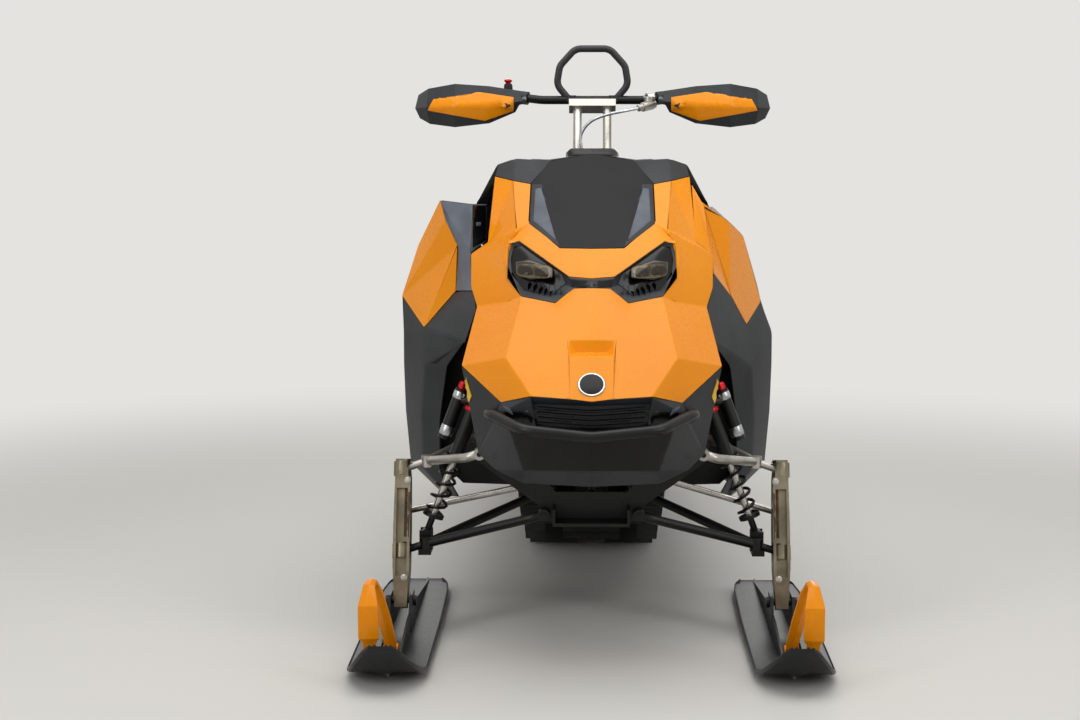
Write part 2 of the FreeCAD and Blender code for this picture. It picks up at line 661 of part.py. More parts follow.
def make_spindle(side, name):
    """Ski leg: an upright blade with sockets for both ball joints, the steering arm and the ski's bolt."""
    blade = loft([[(x, y, z) for x, y in ((-w, -f), (w, -f), (w, r), (-w, r))] for z, w, f, r in (
        # height over the lower ball joint, half width, reach to the front, reach to the rear
        (-SKI_BOLT_DOWN - 18, 15, 16, 16), (-SKI_BOLT_DOWN + 30, 17, 26, 30), (-40, 20, 32, 34), (60, 20, 32, 36),
        (BALL_GAP + 22, 18, 20, 24))])
    hollow = box(-13, 13, -60, -14, -62, 150)
    blade = blade.cut(hollow)
    arm = box(-13, 13, 20, STEER_ARM, STEER_ARM_UP - 18, STEER_ARM_UP + 6)
    boss = Part.makeCylinder(13, 24, Vector(0, STEER_ARM, STEER_ARM_UP - 18))
    pin = Part.makeCylinder(ROD_PIN, 58, Vector(0, STEER_ARM, STEER_ARM_UP - 18))
    cups, sockets = [], []
    reach = SOCKET_RADIUS + 4
    for z, ball, pivot in ((0, LOWER_BALL, LOWER_PIVOT), (BALL_GAP, UPPER_BALL, UPPER_PIVOT)):
        sockets.append(Part.makeCylinder(SOCKET_RADIUS, 2 * SOCKET_HALF, Vector(0, 0, z - SOCKET_HALF)))
        cups.append(Part.makeSphere(BALL_RADIUS + RUNNING_GAP, Vector(0, 0, z)))
        slope = abs(pivot[1] - ball[2]) / (ball[0] - pivot[0])
        wide = reach * (math.tan(STEER_LIMIT) + slope * math.sin(CASTER)) + STEM / math.cos(STEER_LIMIT) + 5
        neck = STEM + MOUTH_ROOM
        mouth = ((side, -neck), (-side * reach, -wide), (-side * reach, wide), (side, neck))
        cups.append(prism(mouth, "z", z - STEM - 12, z + STEM + 12))
    bolt = rod((-40, 0, -SKI_BOLT_DOWN), (40, 0, -SKI_BOLT_DOWN), SKI_BOLT_RADIUS + BOLT_FIT)
    keep("spindle_" + name, lean(less(joined([blade, arm, boss, pin] + sockets), *cups, bolt), side_of(LOWER_BALL, side)))


def rod_ends(side):
    """Middles of a tie rod's two eyes: at the crank, then at the ski leg."""
    return leaned((0, STEER_ARM, side * ROD_LIFT), CRANK), leaned((0, STEER_ARM, STEER_ARM_UP + 18), side_of(LOWER_BALL, side))


def make_tie_rod(side, name):
    inner, outer = rod_ends(side)
    a, b = Vector(*inner), Vector(*outer)
    along = b - a
    along.normalize()
    shaft = rod(tuple(a + along * 10), tuple(b - along * 10), ROD_RADIUS)
    eyes = [lean(Part.makeCylinder(ROD_EYE, 20, Vector(0, 0, -10)), centre) for centre in (inner, outer)]
    bores = [lean(Part.makeCylinder(ROD_PIN + BOLT_FIT, 60, Vector(0, 0, -30)), centre) for centre in (inner, outer)]
    keep("tie_rod_" + name, less(joined([shaft] + eyes), *bores))


def make_crank():
    """The bell crank that moves both tie rods, on a raked stud of the front frame."""
    plate = box(-12, 12, 0, STEER_ARM, -3.5, 3.5)
    tip = Part.makeCylinder(ROD_EYE, 7, Vector(0, STEER_ARM, -3.5))
    boss = Part.makeCylinder(16, 60, Vector(0, 0, -40))
    pin = Part.makeCylinder(ROD_PIN, 60, Vector(0, STEER_ARM, -30))
    crank = joined([plate, tip, boss, pin]).cut(Part.makeCylinder(8 + BOLT_FIT, 90, Vector(0, 0, -60)))
    keep("steering_crank", lean(crank, CRANK))


def trimmed(post, panel, start, end):
    """A post from start towards end that stops just short of a panel in its way."""
    near = Vector(*start)
    piece = min(post.cut(panel).Solids, key=lambda s: s.distToShape(Part.Vertex(near))[0])
    back = near - Vector(*end)
    back.normalize()
    piece.translate(back * RUNNING_GAP)
    return piece


def post_to(name, start, end, radius):
    return trimmed(rod(start, end, radius), PIECES[name], start, end)


def make_front_frame():
    plates = []
    outline = ((-119, 296), (119, 296), (119, 330), (276, 444), (276, 486), (-276, 486), (-276, 444), (-119, 330))
    window = ((-84, 366), (84, 366), (150, 440), (-150, 440))
    for y in (FRONT_PLATE_Y, REAR_PLATE_Y):
        plates.append(prism(outline, "y", y, y + PLATE).cut(prism(window, "y", y - 1, y + PLATE + 1)))
    tray_rear = TUNNEL_FRONT_Y - RUNNING_GAP
    tray = box(-90, 90, -1190, tray_rear, 296, 304)
    sides = [box(x, x + 6, -1190, tray_rear, 296, 336) for x in (-90, 84)]
    beam = box(-40, 40, FRONT_PLATE_Y, REAR_PLATE_Y + PLATE, 322, 352)
    stud = lean(Part.makeCylinder(8, 92, Vector(0, 0, -74)), CRANK)
    pins = []
    front, rear = pivot_ys()
    for s in (1, -1):
        for x, z in (UPPER_PIVOT, LOWER_PIVOT):
            pins.append(rod((s * x, front - EYE_HALF - 2, z), (s * x, FRONT_PLATE_Y + 5, z), PIVOT_PIN))
            pins.append(rod((s * x, REAR_PLATE_Y + PLATE - 5, z), (s * x, rear + EYE_HALF + 2, z), PIVOT_PIN))
    hoops, ears = [], []
    x, y, z = SHOCK_TOP
    for s in (1, -1):
        hoops.append(bent(((s * 250, FRONT_PLATE_Y + 9, 480), (s * x, y, HOOP_Z + 36), (s * 250, REAR_PLATE_Y + 9, 480)), 14, 40))
        for y0, y1 in ((y - 25, y - EYE_HALF - RUNNING_GAP), (y + EYE_HALF + RUNNING_GAP, y + 25)):
            ears.append(box(s * x - 15, s * x + 15, y0, y1, z - 14, HOOP_Z))
        ears.append(box(s * x - 15, s * x + 15, y - 25, y + 25, z + 22, HOOP_Z))
        ears.append(rod((s * x, y - 25, z), (s * x, y + 25, z), PIVOT_PIN))
    bridge = rod((-x, y, HOOP_Z), (x, y, HOOP_Z), 12)
    pyramid = []
    for s in (1, -1):
        pyramid.append(rod((s * 90, -1110, 480), (s * 34, -702, 1004), 13))
        pyramid.append(post_to("tunnel", (s * 34, -690, 1010), (s * 158, -578, 640), 13))
    along = BAR_CENTRE - COLUMN_FOOT
    along.normalize()
    low, high = COLUMN_FOOT + along * 4, COLUMN_FOOT + along * 610
    collars = [rod(tuple(high), tuple(high + along * 40), 36), rod(tuple(low), tuple(low + along * 30), 26)]
    butt = box(-TUNNEL_HALF, TUNNEL_HALF, tray_rear - 12, tray_rear, 296, 400)
    brace = rod((0, FRONT_PLATE_Y + 9, 478), tuple(low + along * 15), 11)
    posts = [rod((-130, -630, 800), (130, -630, 800), 10)]
    for s in (1, -1):
        posts.append(post_to("side_panels", (s * 120, -630, 800), (s * 520, -630, 800), 10))
        posts.append(post_to("nose_cowl", (s * 95, -1112, 480), (s * 95, -1520, 520), 9))
        posts.append(post_to("dash_console", (s * 24, -676, 1024), (s * 150, -700, 1180), 8))
    bulkhead = joined(plates + [tray, butt, beam, stud] + sides + pins)
    tubes = joined([bridge, brace] + hoops + ears + pyramid + collars + posts)
    bore = rod(tuple(COLUMN_FOOT - along * 20), tuple(BAR_CENTRE), 16.05)
    keep("bulkhead", bulkhead)
    keep("upper_frame", tubes.cut(bore).cut(bulkhead))
    engine = prism(((-812, 350), (-812, 600), (-778, 690), (-758, 760), (-645, 760), (-632, 700), (-632, 350)), "x", -190, 190)
    base = box(-80, 80, -800, -640, 304 + RUNNING_GAP, 350)
    keep("engine_block", joined([engine, base]))


COIL_RADIUS = 22.0
COIL_WIRE = 4.0
COIL_TURNS = 5
SHOCK_BODY = 17.0
RESERVOIR_OUT = 44.0


def coil(start, along, length, turns):
    """A coil spring of six-sided wire along a straight line."""
    u = along.cross(Y_AXIS)
    u.normalize()
    v = along.cross(u)
    sections = []
    steps = 12 * turns
    for k in range(steps + 1):
        angle = 2 * math.pi * k / 12
        out = u * math.cos(angle) + v * math.sin(angle)
        centre = start + out * COIL_RADIUS + along * (length * k / steps)
        sections.append([tuple(centre + out * (COIL_WIRE * math.cos(t)) + along * (COIL_WIRE * math.sin(t)))
                         for t in (math.pi / 3 * i for i in range(6))])
    return loft(sections)


def front_shock(side):
    top, foot = Vector(*side_of(SHOCK_TOP, side)), Vector(*side_of(SHOCK_FOOT, side))
    along = foot - top
    length = along.Length
    along.normalize()
    at = lambda s: tuple(top + along * s)
    half = length / 2
    perch_end = length - 46
    parts = [rod((p.x, p.y - EYE_HALF, p.z), (p.x, p.y + EYE_HALF, p.z), 14) for p in (top, foot)]
    parts += [rod(at(8), at(36), 12), rod(at(34), at(half), SHOCK_BODY), rod(at(half - 4), at(length - 10), 8)]
    parts += [rod(at(half - 9), at(half), COIL_RADIUS + COIL_WIRE), rod(at(perch_end - 9), at(perch_end), COIL_RADIUS + COIL_WIRE)]
    out = Vector(side * RESERVOIR_OUT, 20, 0)
    parts.append(rod(tuple(top + along * 18 + out), tuple(top + along * 146 + out), 16))
    parts.append(rod(at(46), tuple(top + along * 46 + out), 10))
    holes = [rod((p.x, p.y - 20, p.z), (p.x, p.y + 20, p.z), PIVOT_PIN + RUNNING_GAP) for p in (top, foot)]
    spring = coil(Vector(*at(half - 4)), along, perch_end - half - 1, COIL_TURNS)
    return less(joined(parts + [spring]), *holes)


SKI_HALF = 92.0
SKI_TOP = 9.0
WALL_X = 22.0
RUNNER = 12.0
SKI_STATIONS = (
    # y, height of the sole, half width, height of the two walls over the sole
    (-1600.0, 104.0, 26.0, 12.0),
    (-1585.0, 88.0, 44.0, 14.0),
    (-1540.0, 52.0, 68.0, 16.0),
    (-1490.0, 27.0, 82.0, 20.0),
    (-1430.0, RUNNER, SKI_HALF, 26.0),
    (-1180.0, RUNNER, SKI_HALF, 60.0),
    (-960.0, RUNNER, SKI_HALF, 60.0),
    (-640.0, RUNNER, SKI_HALF - 6, 24.0),
    (-545.0, RUNNER, SKI_HALF - 14, 14.0),
    (-530.0, RUNNER + 6, SKI_HALF - 26, 12.0),
)


def make_ski(side, name):
    sections = []
    for y, sole, half, wall in SKI_STATIONS:
        edge = 6 if half > 40 else 3
        keel, web = 0.6 * half if half < 34 else 20, WALL_X * min(1, half / 60)
        right = ((keel * 0.7, -4), (keel, 0), (half - 3, 0), (half, edge), (half - 3, SKI_TOP + 3), (half - 6, SKI_TOP),
                 (web + 5, SKI_TOP), (web + 5, wall), (web, wall), (web, SKI_TOP))
        xs = list(right) + [(-x, z) for x, z in reversed(right)]
        sections.append([(SKI_BOLT[0] + x, y, sole + z) for x, z in xs])
    blade = loft(sections)
    x, y, z = SKI_BOLT
    cheeks = []
    for s in (1, -1):
        cheek = prism(((y - 70, 30), (y - 34, z + 20), (y + 34, z + 20), (y + 80, 30)), "x", x + s * WALL_X, x + s * (WALL_X + 7))
        cheeks.append(cheek)
    bolt = rod((x - WALL_X - 14, y, z), (x + WALL_X + 14, y, z), 8)
    heads = [rod((x + s * (WALL_X + 7), y, z), (x + s * (WALL_X + 15), y, z), 13) for s in (1, -1)]
    ski = joined([blade, bolt] + cheeks + heads)
    keep("ski_" + name, ski if side == 1 else mirrored(ski))
    points = ((x, -1478, 20), (x, -1490, 120), (x, -1462, 205), (x, -1392, 199), (x, -1230, 98), (x, -1200, 15))
    feet = [box(x - 15, x + 15, y - 26, y + 26, 12, 56) for y in (-1474, -1203)]
    seat = blade.copy()
    seat.translate(Vector(0, 0, RUNNING_GAP))
    handle = joined([bent(points, 11, 26)] + feet).cut(seat)
    handle = max(handle.Solids, key=lambda solid: solid.BoundBox.ZMax)
    keep("ski_loop_" + name, handle if side == 1 else mirrored(handle))
    top = RUNNER - 4 - RUNNING_GAP
    section = ((-5, top), (5, top), (3.5, 2), (1.5, 0), (-1.5, 0), (-3.5, 2))
    runner = prism([(x + u, w) for u, w in section], "y", -1425, -645)
    keep("ski_runner_" + name, runner if side == 1 else mirrored(runner))


def mirror_rows(rows):
    """Full rows from rows that run from the middle out to the rider's left."""
    return [[(-x, y, z) for x, y, z in reversed(row[1:])] + list(row) for row in rows]


NOSE = (
    # x, y, z from the middle to the outer edge; rows from the top of the windshield down to the bumper
    ((0, -800, 1150), (86, -800, 1144), (150, -862, 1104), (205, -880, 1088), (247, -880, 1074)),
    ((0, -930, 1066), (86, -935, 1060), (152, -985, 1026), (215, -968, 1010), (270, -945, 985)),
    ((0, -1100, 944), (76, -1092, 946), (140, -1060, 955), (205, -1034, 945), (290, -1000, 917)),
    ((0, -1222, 864), (40, -1214, 864), (105, -1170, 868), (195, -1102, 862), (284, -1040, 850)),
    ((0, -1300, 812), (44, -1290, 811), (112, -1230, 806), (200, -1146, 800), (276, -1084, 790)),
    ((0, -1380, 754), (44, -1372, 753), (128, -1312, 744), (216, -1240, 734), (286, -1180, 724)),
    ((0, -1432, 690), (46, -1426, 689), (128, -1384, 680), (216, -1318, 672), (294, -1250, 664)),
    ((0, -1462, 624), (50, -1456, 622), (120, -1424, 616), (199, -1366, 614), (276, -1290, 628)),
)
WINDSHIELD_OUTLINE = ((0, 942), (75, 945), (150, 1018), (150, 1062), (100, 1120), (86, 1160), (0, 1166))
LAMP_OUTLINE = ((188, 948), (166, 952), (52, 886), (42, 880), (40, 850), (84, 818), (160, 834), (194, 872), (197, 915))
BODY_SHEET = 3.5
LAMP_RECESS = 1.5
LAMP_DEPTH = 22.0


def both_sides(outline):
    return list(outline) + [(-x, z) for x, z in reversed(outline) if x > 0]


def make_nose():
    surface = skin(mirror_rows(NOSE), BODY_SHEET)
    shield = prism(both_sides(WINDSHIELD_OUTLINE), "y", -1300, -700)
    lamps = [prism([(s * x, z) for x, z in LAMP_OUTLINE], "y", -1400, -950) for s in (1, -1)]
    hood = less(surface, shield, *lamps)
    keep("hood", max(hood.Solids, key=lambda s: s.Volume))
    inset = 0.4
    middle = sum(z for _, z in WINDSHIELD_OUTLINE) / len(WINDSHIELD_OUTLINE)
    small = [(x - inset if x > 0 else 0, z + (inset if z < middle else -inset)) for x, z in WINDSHIELD_OUTLINE]
    pane = surface.common(prism(both_sides(small), "y", -1300, -700))
    keep("windshield", max(pane.Solids, key=lambda s: s.Volume))
    units = []
    deep = skin([[(x, y + LAMP_RECESS, z) for x, y, z in row] for row in mirror_rows(NOSE[1:6])], LAMP_DEPTH)
    for s in (1, -1):
        cx = sum(x for x, _ in LAMP_OUTLINE) / len(LAMP_OUTLINE)
        cz = sum(z for _, z in LAMP_OUTLINE) / len(LAMP_OUTLINE)
        small = [(s * (cx + (x - cx) * 0.994), cz + (z - cz) * 0.994) for x, z in LAMP_OUTLINE]
        unit = prism(small, "y", -1400, -950).common(deep)
        units.append(max(unit.Solids, key=lambda v: v.Volume))
    keep("headlights", *units)
    rows = [[(x, y, z - 0.7) for x, y, z in NOSE[-1]]] + list(COWL)
    keep("nose_cowl", skin(mirror_rows(rows), BODY_SHEET).cut(bumper_tube(BUMPER_RADIUS + 0.4)))


COWL = (
    # x, y, z from the middle to the outer edge; rows below the hood's lower edge
    ((0, -1464, 560), (50, -1458, 560), (122, -1426, 560), (196, -1362, 562), (270, -1262, 570)),
    ((0, -1446, 500), (50, -1440, 500), (118, -1410, 503), (186, -1346, 508), (256, -1228, 520)),
    ((0, -1404, 428), (48, -1398, 429), (112, -1368, 436), (172, -1310, 446), (244, -1178, 474)),
)
BUMPER_RADIUS = 12.5


def bumper_tube(radius):
    half = ((205, FRONT_PLATE_Y + 9, 460), (215, -1260, 560), (233, -1372, 590), (150, -1484, 568))
    points = [(-x, y, z) for x, y, z in half] + [(0, -1508, 556)] + list(reversed(half))
    return bent(points, radius, 60)


def make_bumper():
    behind = box(-400, 400, FRONT_PLATE_Y - RUNNING_GAP, FRONT_PLATE_Y + 60, 300, 700)
    keep("front_bumper", bumper_tube(BUMPER_RADIUS).cut(behind))


SIDE_PANEL = (
    # x, y, z from the front edge to the rear; rows from the top down
    ((296, -1000, 905), (330, -905, 950), (352, -700, 962), (338, -540, 940), (292, -400, 872)),
    ((284, -1060, 800), (368, -915, 812), (456, -715, 806), (432, -540, 800), (330, -400, 780)),
    ((300, -1062, 712), (392, -925, 700), (478, -690, 702), (450, -530, 700), (350, -400, 690)),
    ((352, -915, 640), (410, -860, 630), (478, -690, 620), (450, -530, 620), (352, -400, 610)),
    ((374, -866, 500), (424, -810, 500), (474, -690, 500), (450, -530, 500), (352, -400, 500)),
    ((376, -850, 376), (420, -800, 366), (462, -690, 364), (436, -530, 364), (352, -442, 364)),
    ((330, -850, 304), (360, -790, 294), (386, -690, 290), (370, -540, 292), (330, -456, 300)),
)


def make_sides():
    panels = []
    for side, share in ((1, 0.955), (-1, 1.0)):
        rows = [[(x * share, y, z) for x, y, z in row] for row in SIDE_PANEL]
        panel = skin([list(reversed(row)) for row in rows] if side == 1 else [[(-x, y, z) for x, y, z in row] for row in rows], BODY_SHEET)
        panels.append(panel)
    keep("side_panels", *panels)


CONSOLE = (
    # x, y, z from the middle out; rows from the windshield back to the seat
    ((0, -798.2, 1150), (86, -798.2, 1144), (150, -859.2, 1104), (205, -877.6, 1088), (247, -877.6, 1074)),
    ((0, -786, 1146), (92, -786, 1142), (158, -836, 1138), (218, -842, 1138), (256, -850, 1084)),
    ((0, -720, 1124), (100, -720, 1124), (200, -724, 1128), (262, -728, 1080), (300, -730, 1020)),
    ((0, -600, 1084), (100, -600, 1084), (195, -600, 1078), (262, -600, 1034), (318, -600, 980)),
    ((0, -450, 1002), (92, -450, 1000), (180, -450, 990), (246, -450, 956), (300, -440, 915)),
    ((0, -336, 944), (84, -336, 940), (150, -336, 926), (205, -345, 896), (258, -360, 862)),
)
CONSOLE_HOLE = 30.0


def make_console():
    shell = skin([list(reversed(row)) for row in mirror_rows(CONSOLE)], BODY_SHEET)
    if shell.Volume < 0:
        shell.reverse()
    along = BAR_CENTRE - COLUMN_FOOT
    along.normalize()
    hole = rod(tuple(COLUMN_FOOT + along * 560), tuple(COLUMN_FOOT + along * 800), CONSOLE_HOLE)
    keep("dash_console", shell.cut(hole))


def rounded_block(y0, y1, sections):
    """A loft through eight-cornered sections: y, half width at the foot and at the top, height of foot and top, corner."""
    faces = []
    for y, foot, top, z0, z1, corner in sections:
        faces.append([(x, y, z) for x, z in ((-foot, z0), (foot, z0), (foot, z0 + 30), (top, z1 - corner), (top - corner, z1),
                                             (corner - top, z1), (-top, z1 - corner), (-foot, z0 + 30))])
    return loft(faces)


def make_seat_and_tank():
    over = lambda y: tunnel_top(y) + RUNNING_GAP
    seat = rounded_block(-330, 420, (
        (-326, 150, 88, over(-326), 916, 26), (-300, 158, 96, over(-300), 932, 30), (-100, 170, 116, over(-100), 908, 34),
        (160, 178, 136, over(160), 896, 36), (370, 176, 142, over(370), 892, 36), (424, 164, 128, over(424), 862, 34)))
    keep("seat", seat)
    tank = rounded_block(-560, -332, (
        (-558, 150, 118, over(-558), 986, 40), (-450, 170, 130, over(-450), 950, 44), (-332, 170, 100, over(-332), 900, 30)))
    keep("fuel_tank", tank)


def make_steering():
    along = BAR_CENTRE - COLUMN_FOOT
    length = along.Length
    along.normalize()
    at = lambda s: COLUMN_FOOT + along * s
    riser_foot = length - 175
    column = rod(tuple(at(0)), tuple(at(riser_foot + 10)), 16)
    collar = rod(tuple(at(34.5)), tuple(at(44)), 22)
    block = box(-56, 56, -16, 16, -12, 12)
    turn = FreeCAD.Rotation(Z_AXIS, along)
    block.Placement = FreeCAD.Placement(at(riser_foot), turn)
    risers = [rod(tuple(at(riser_foot) + Vector(s * 38, 0, 0)), tuple(at(length - 6) + Vector(s * 38, 0, 0)), 11) for s in (1, -1)]
    clamp = box(-60, 60, -20, 20, -16, 4)
    clamp.Placement = FreeCAD.Placement(at(length - 12), turn)
    bar = handlebar()
    column_piece = joined([column, collar, block, clamp] + risers).cut(rod((-80, BAR_CENTRE.y, BAR_CENTRE.z), (80, BAR_CENTRE.y, BAR_CENTRE.z), 11.3))
    keep("steering_column", column_piece)
    keep("handlebar", bar)


BAR_SWEEP = ((130, 0, 0), (250, 38, 14), (418, 84, -22))


def bar_points():
    c = BAR_CENTRE
    right = [(c.x + x, c.y + y, c.z + z) for x, y, z in BAR_SWEEP]
    return [(-x, y, z) for x, y, z in reversed(right)] + right


def handlebar():
    return bent(bar_points(), 11, 60)


def make_grips():
    pieces = []
    a, b = Vector(*bar_points()[-2]), Vector(*bar_points()[-1])
    along = b - a
    length = along.Length
    along.normalize()
    for side in (1, -1):
        s0, s1 = a + along * (length - 118), b + along * 4
        grip = rod(tuple(s0), tuple(s1), 17).cut(rod(tuple(a), tuple(b + along * RUNNING_GAP), 11.3))
        pieces.append(grip if side == 1 else mirrored(grip))
    keep("grips", *pieces)
    controls = []
    for side in (1, -1):
        m0, m1 = a + along * 14, a + along * 54
        house = rod(tuple(m0), tuple(m1), 24)
        lever_root = a + along * 38
        lever = bent((tuple(lever_root + Vector(0, -20, 0)), tuple(lever_root + Vector(20, -62, -6)), tuple(lever_root + Vector(150, -34, -18))), 6, 24)
        blockish = box(-22, 22, -44, -8, -14, 26)
        blockish.translate(lever_root)
        unit = joined([house, lever, blockish]).cut(rod(tuple(a - along * 20), tuple(b + along), 11.3))
        controls.append(unit if side == 1 else mirrored(unit))
    keep("hand_controls", *controls)


GUARD = (
    # x, y, z from the inner end to the outer; rows from the top edge to the lower
    ((182, -588, 1306), (262, -600, 1318), (350, -592, 1324), (420, -560, 1312), (450, -505, 1296)),
    ((180, -604, 1280), (262, -624, 1270), (350, -618, 1268), (424, -584, 1264), (458, -515, 1262)),
    ((196, -592, 1252), (262, -606, 1224), (350, -600, 1214), (416, -566, 1222), (446, -512, 1236)),
)


def make_guards():
    guards = []
    for side in (1, -1):
        rows = [list(reversed([(x, y, z) for x, y, z in row])) for row in GUARD] if side == 1 else [[(-x, y, z) for x, y, z in row] for row in GUARD]
        shell = skin(rows, 4.0)
        a, b = Vector(*bar_points()[-3]), Vector(*bar_points()[-2])
        clamp = rod(tuple(a + (b - a) * 0.3), tuple(a + (b - a) * 0.46), 17)
        mount = a + (b - a) * 0.38
        arm = bent(((mount.x, mount.y - 8, mount.z), (mount.x, mount.y - 70, mount.z - 8), (mount.x + 46, -618, 1268)), 7, 20)
        holder = joined([clamp, arm]).cut(rod(tuple(a), tuple(b), 11.3))
        holder = holder if side == 1 else mirrored(holder)
        guards.append(joined([shell, holder]))
    keep("hand_guards", *guards)


def make_strap():
    c = BAR_CENTRE
    half = ((56, -6), (92, 36), (84, 84), (44, 128))
    points = [(-x, z) for x, z in half] + [(x, z) for x, z in reversed(half)]
    stations = [((x, c.y, c.z + z + 4), z) for x, z in points]
    tube = bent([(x, c.y, c.z + z + 3) for x, z in points], 9, 34)
    posts = [rod((s * 56, c.y, c.z - 4), (s * 56, c.y, c.z + 12), 14) for s in (1, -1)]
    del stations
    strap = joined([tube] + posts)
    column = PIECES["steering_column"]
    keep("grab_strap", strap.cut(column).cut(rod((-90, c.y, c.z), (90, c.y, c.z), 11.3)).Solids[0])


if __name__ == "__main__":
    make_track()
    make_rails()
    make_wheels()
    make_skid_arms()
    make_skid_shocks()
    make_tunnel()
    make_running_boards()
    make_tail()
    make_nose()
    make_sides()
    make_console()
    make_front_frame()
    make_arms()
    for side, name in ((1, "left"), (-1, "right")):
        make_spindle(side, name)
        make_tie_rod(side, name)
        make_ski(side, name)
    make_crank()
    keep("front_shocks", front_shock(1), front_shock(-1))
    make_bumper()
    make_seat_and_tank()
    make_steering()
    make_grips()
    make_guards()
    make_strap()
    os.makedirs(OUT, exist_ok=True)
    for name, shape in PIECES.items():
        shape.exportStep(OUT + "/" + name + ".step")
        if not shape.isValid() or min(s.Volume for s in shape.Solids) <= 0:
            print("check", name)
    print(len(PIECES), "pieces")
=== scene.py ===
import math

import bmesh
import bpy
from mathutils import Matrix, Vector
from mathutils.bvhtree import BVHTree


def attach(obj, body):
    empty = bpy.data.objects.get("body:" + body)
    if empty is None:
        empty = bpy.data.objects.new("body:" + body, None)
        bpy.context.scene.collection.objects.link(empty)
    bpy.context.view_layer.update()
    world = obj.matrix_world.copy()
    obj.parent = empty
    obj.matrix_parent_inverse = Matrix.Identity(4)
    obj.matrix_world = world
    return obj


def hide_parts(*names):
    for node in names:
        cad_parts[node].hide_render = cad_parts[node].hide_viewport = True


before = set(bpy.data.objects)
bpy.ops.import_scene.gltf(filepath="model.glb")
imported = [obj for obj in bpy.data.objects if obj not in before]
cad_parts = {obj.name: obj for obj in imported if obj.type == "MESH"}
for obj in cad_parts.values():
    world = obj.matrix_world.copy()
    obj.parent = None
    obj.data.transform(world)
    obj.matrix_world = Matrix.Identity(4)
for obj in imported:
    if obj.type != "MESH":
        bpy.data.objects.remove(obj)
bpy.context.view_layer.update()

# Camera and studio
# A long lens about six metres ahead of the machine, at the height of its bars,
# in a pale studio lit by four large soft lamps.
PICTURE_WIDTH = 1080
FOCAL_PIXELS = 2200
SENSOR_WIDTH = 36
AIM_DOWN = 260                         # pixels from level to the aim, and from centre
AIM_LEFT = 52
camera_data = bpy.data.cameras.new("camera")
camera_data.sensor_width = SENSOR_WIDTH
camera_data.lens = SENSOR_WIDTH * FOCAL_PIXELS / PICTURE_WIDTH
camera = bpy.data.objects.new("camera", camera_data)
camera.location = (0, -6.23, 1.283)
camera.rotation_euler = (
    math.radians(90) - math.atan(AIM_DOWN / FOCAL_PIXELS),
    0,
    math.atan(AIM_LEFT / FOCAL_PIXELS),
)
bpy.context.collection.objects.link(camera)
scene = bpy.context.scene
scene.camera = camera
scene.view_settings.view_transform = "Standard"


def linear(code):
    """An sRGB hex colour as linear RGBA."""
    shares = [int(code[i:i + 2], 16) / 255 for i in (0, 2, 4)]
    return [
        *(s / 12.92 if s <= 0.04045 else ((s + 0.055) / 1.055) ** 2.4 for s in shares),
        1.0,
    ]


def add(material, kind, inputs, feeds=None, **settings):
    """Adds a shader node; inputs may be sockets, and feeds maps its outputs to sockets."""
    tree = material.node_tree
    node = tree.nodes.new("ShaderNode" + kind)
    for name, value in settings.items():
        setattr(node, name, value)
    for name, value in inputs.items():
        if isinstance(value, bpy.types.NodeSocket):
            tree.links.new(value, node.inputs[name])
        else:
            node.inputs[name].default_value = value
    for name, socket in (feeds or {}).items():
        tree.links.new(node.outputs[name], socket)
    return node


def softbox(name, place, aim, size, watts):
    """A large soft lamp aimed at a point."""
    data = bpy.data.lights.new(name, "AREA")
    data.shape = "RECTANGLE"
    data.size, data.size_y = size
    data.energy = watts
    lamp = bpy.data.objects.new(name, data)
    lamp.location = place
    lamp.rotation_euler = (Vector(aim) - Vector(place)).to_track_quat("-Z", "Y").to_euler()
    bpy.context.collection.objects.link(lamp)


softbox("overhead", (0, -1.2, 3.6), (0, -0.4, 0), (4.5, 3.0), 92)
softbox("front_left", (-3.4, -4.4, 2.4), (0, -1, 0.7), (1.2, 2.6), 50)
softbox("front_right", (3.6, -3.8, 2.6), (0, -1, 0.7), (1.2, 2.6), 41)
softbox("rear", (0.5, 4.4, 2.8), (0, 0.4, 0.5), (3.6, 1.6), 56)

# The world lights softly, and shows as a pale backdrop to the camera and in reflections
BACKDROP = linear("E4E3E0")
world = bpy.data.worlds.new("studio")
world.use_nodes = True
scene.world = world
background = world.node_tree.nodes["Background"]
background.inputs["Color"].default_value = BACKDROP
light_path = add(world, "LightPath", {})
seen = light_path.outputs["Is Camera Ray"]
for ray in ("Is Glossy Ray", "Is Transmission Ray"):
    seen = add(world, "Math", {0: seen, 1: light_path.outputs[ray]}, operation="MAXIMUM").outputs[0]
add(
    world,
    "MapRange",
    {"Value": seen, "To Min": 0.36, "To Max": 1.0},
    {"Result": background.inputs["Strength"]},
)

floor_mesh = bpy.data.meshes.new("floor")
floor_mesh.from_pydata([(-40, -40, 0), (40, -40, 0), (40, 40, 0), (-40, 40, 0)], [], [(0, 1, 2, 3)])
floor = bpy.data.objects.new("floor", floor_mesh)
bpy.context.collection.objects.link(floor)
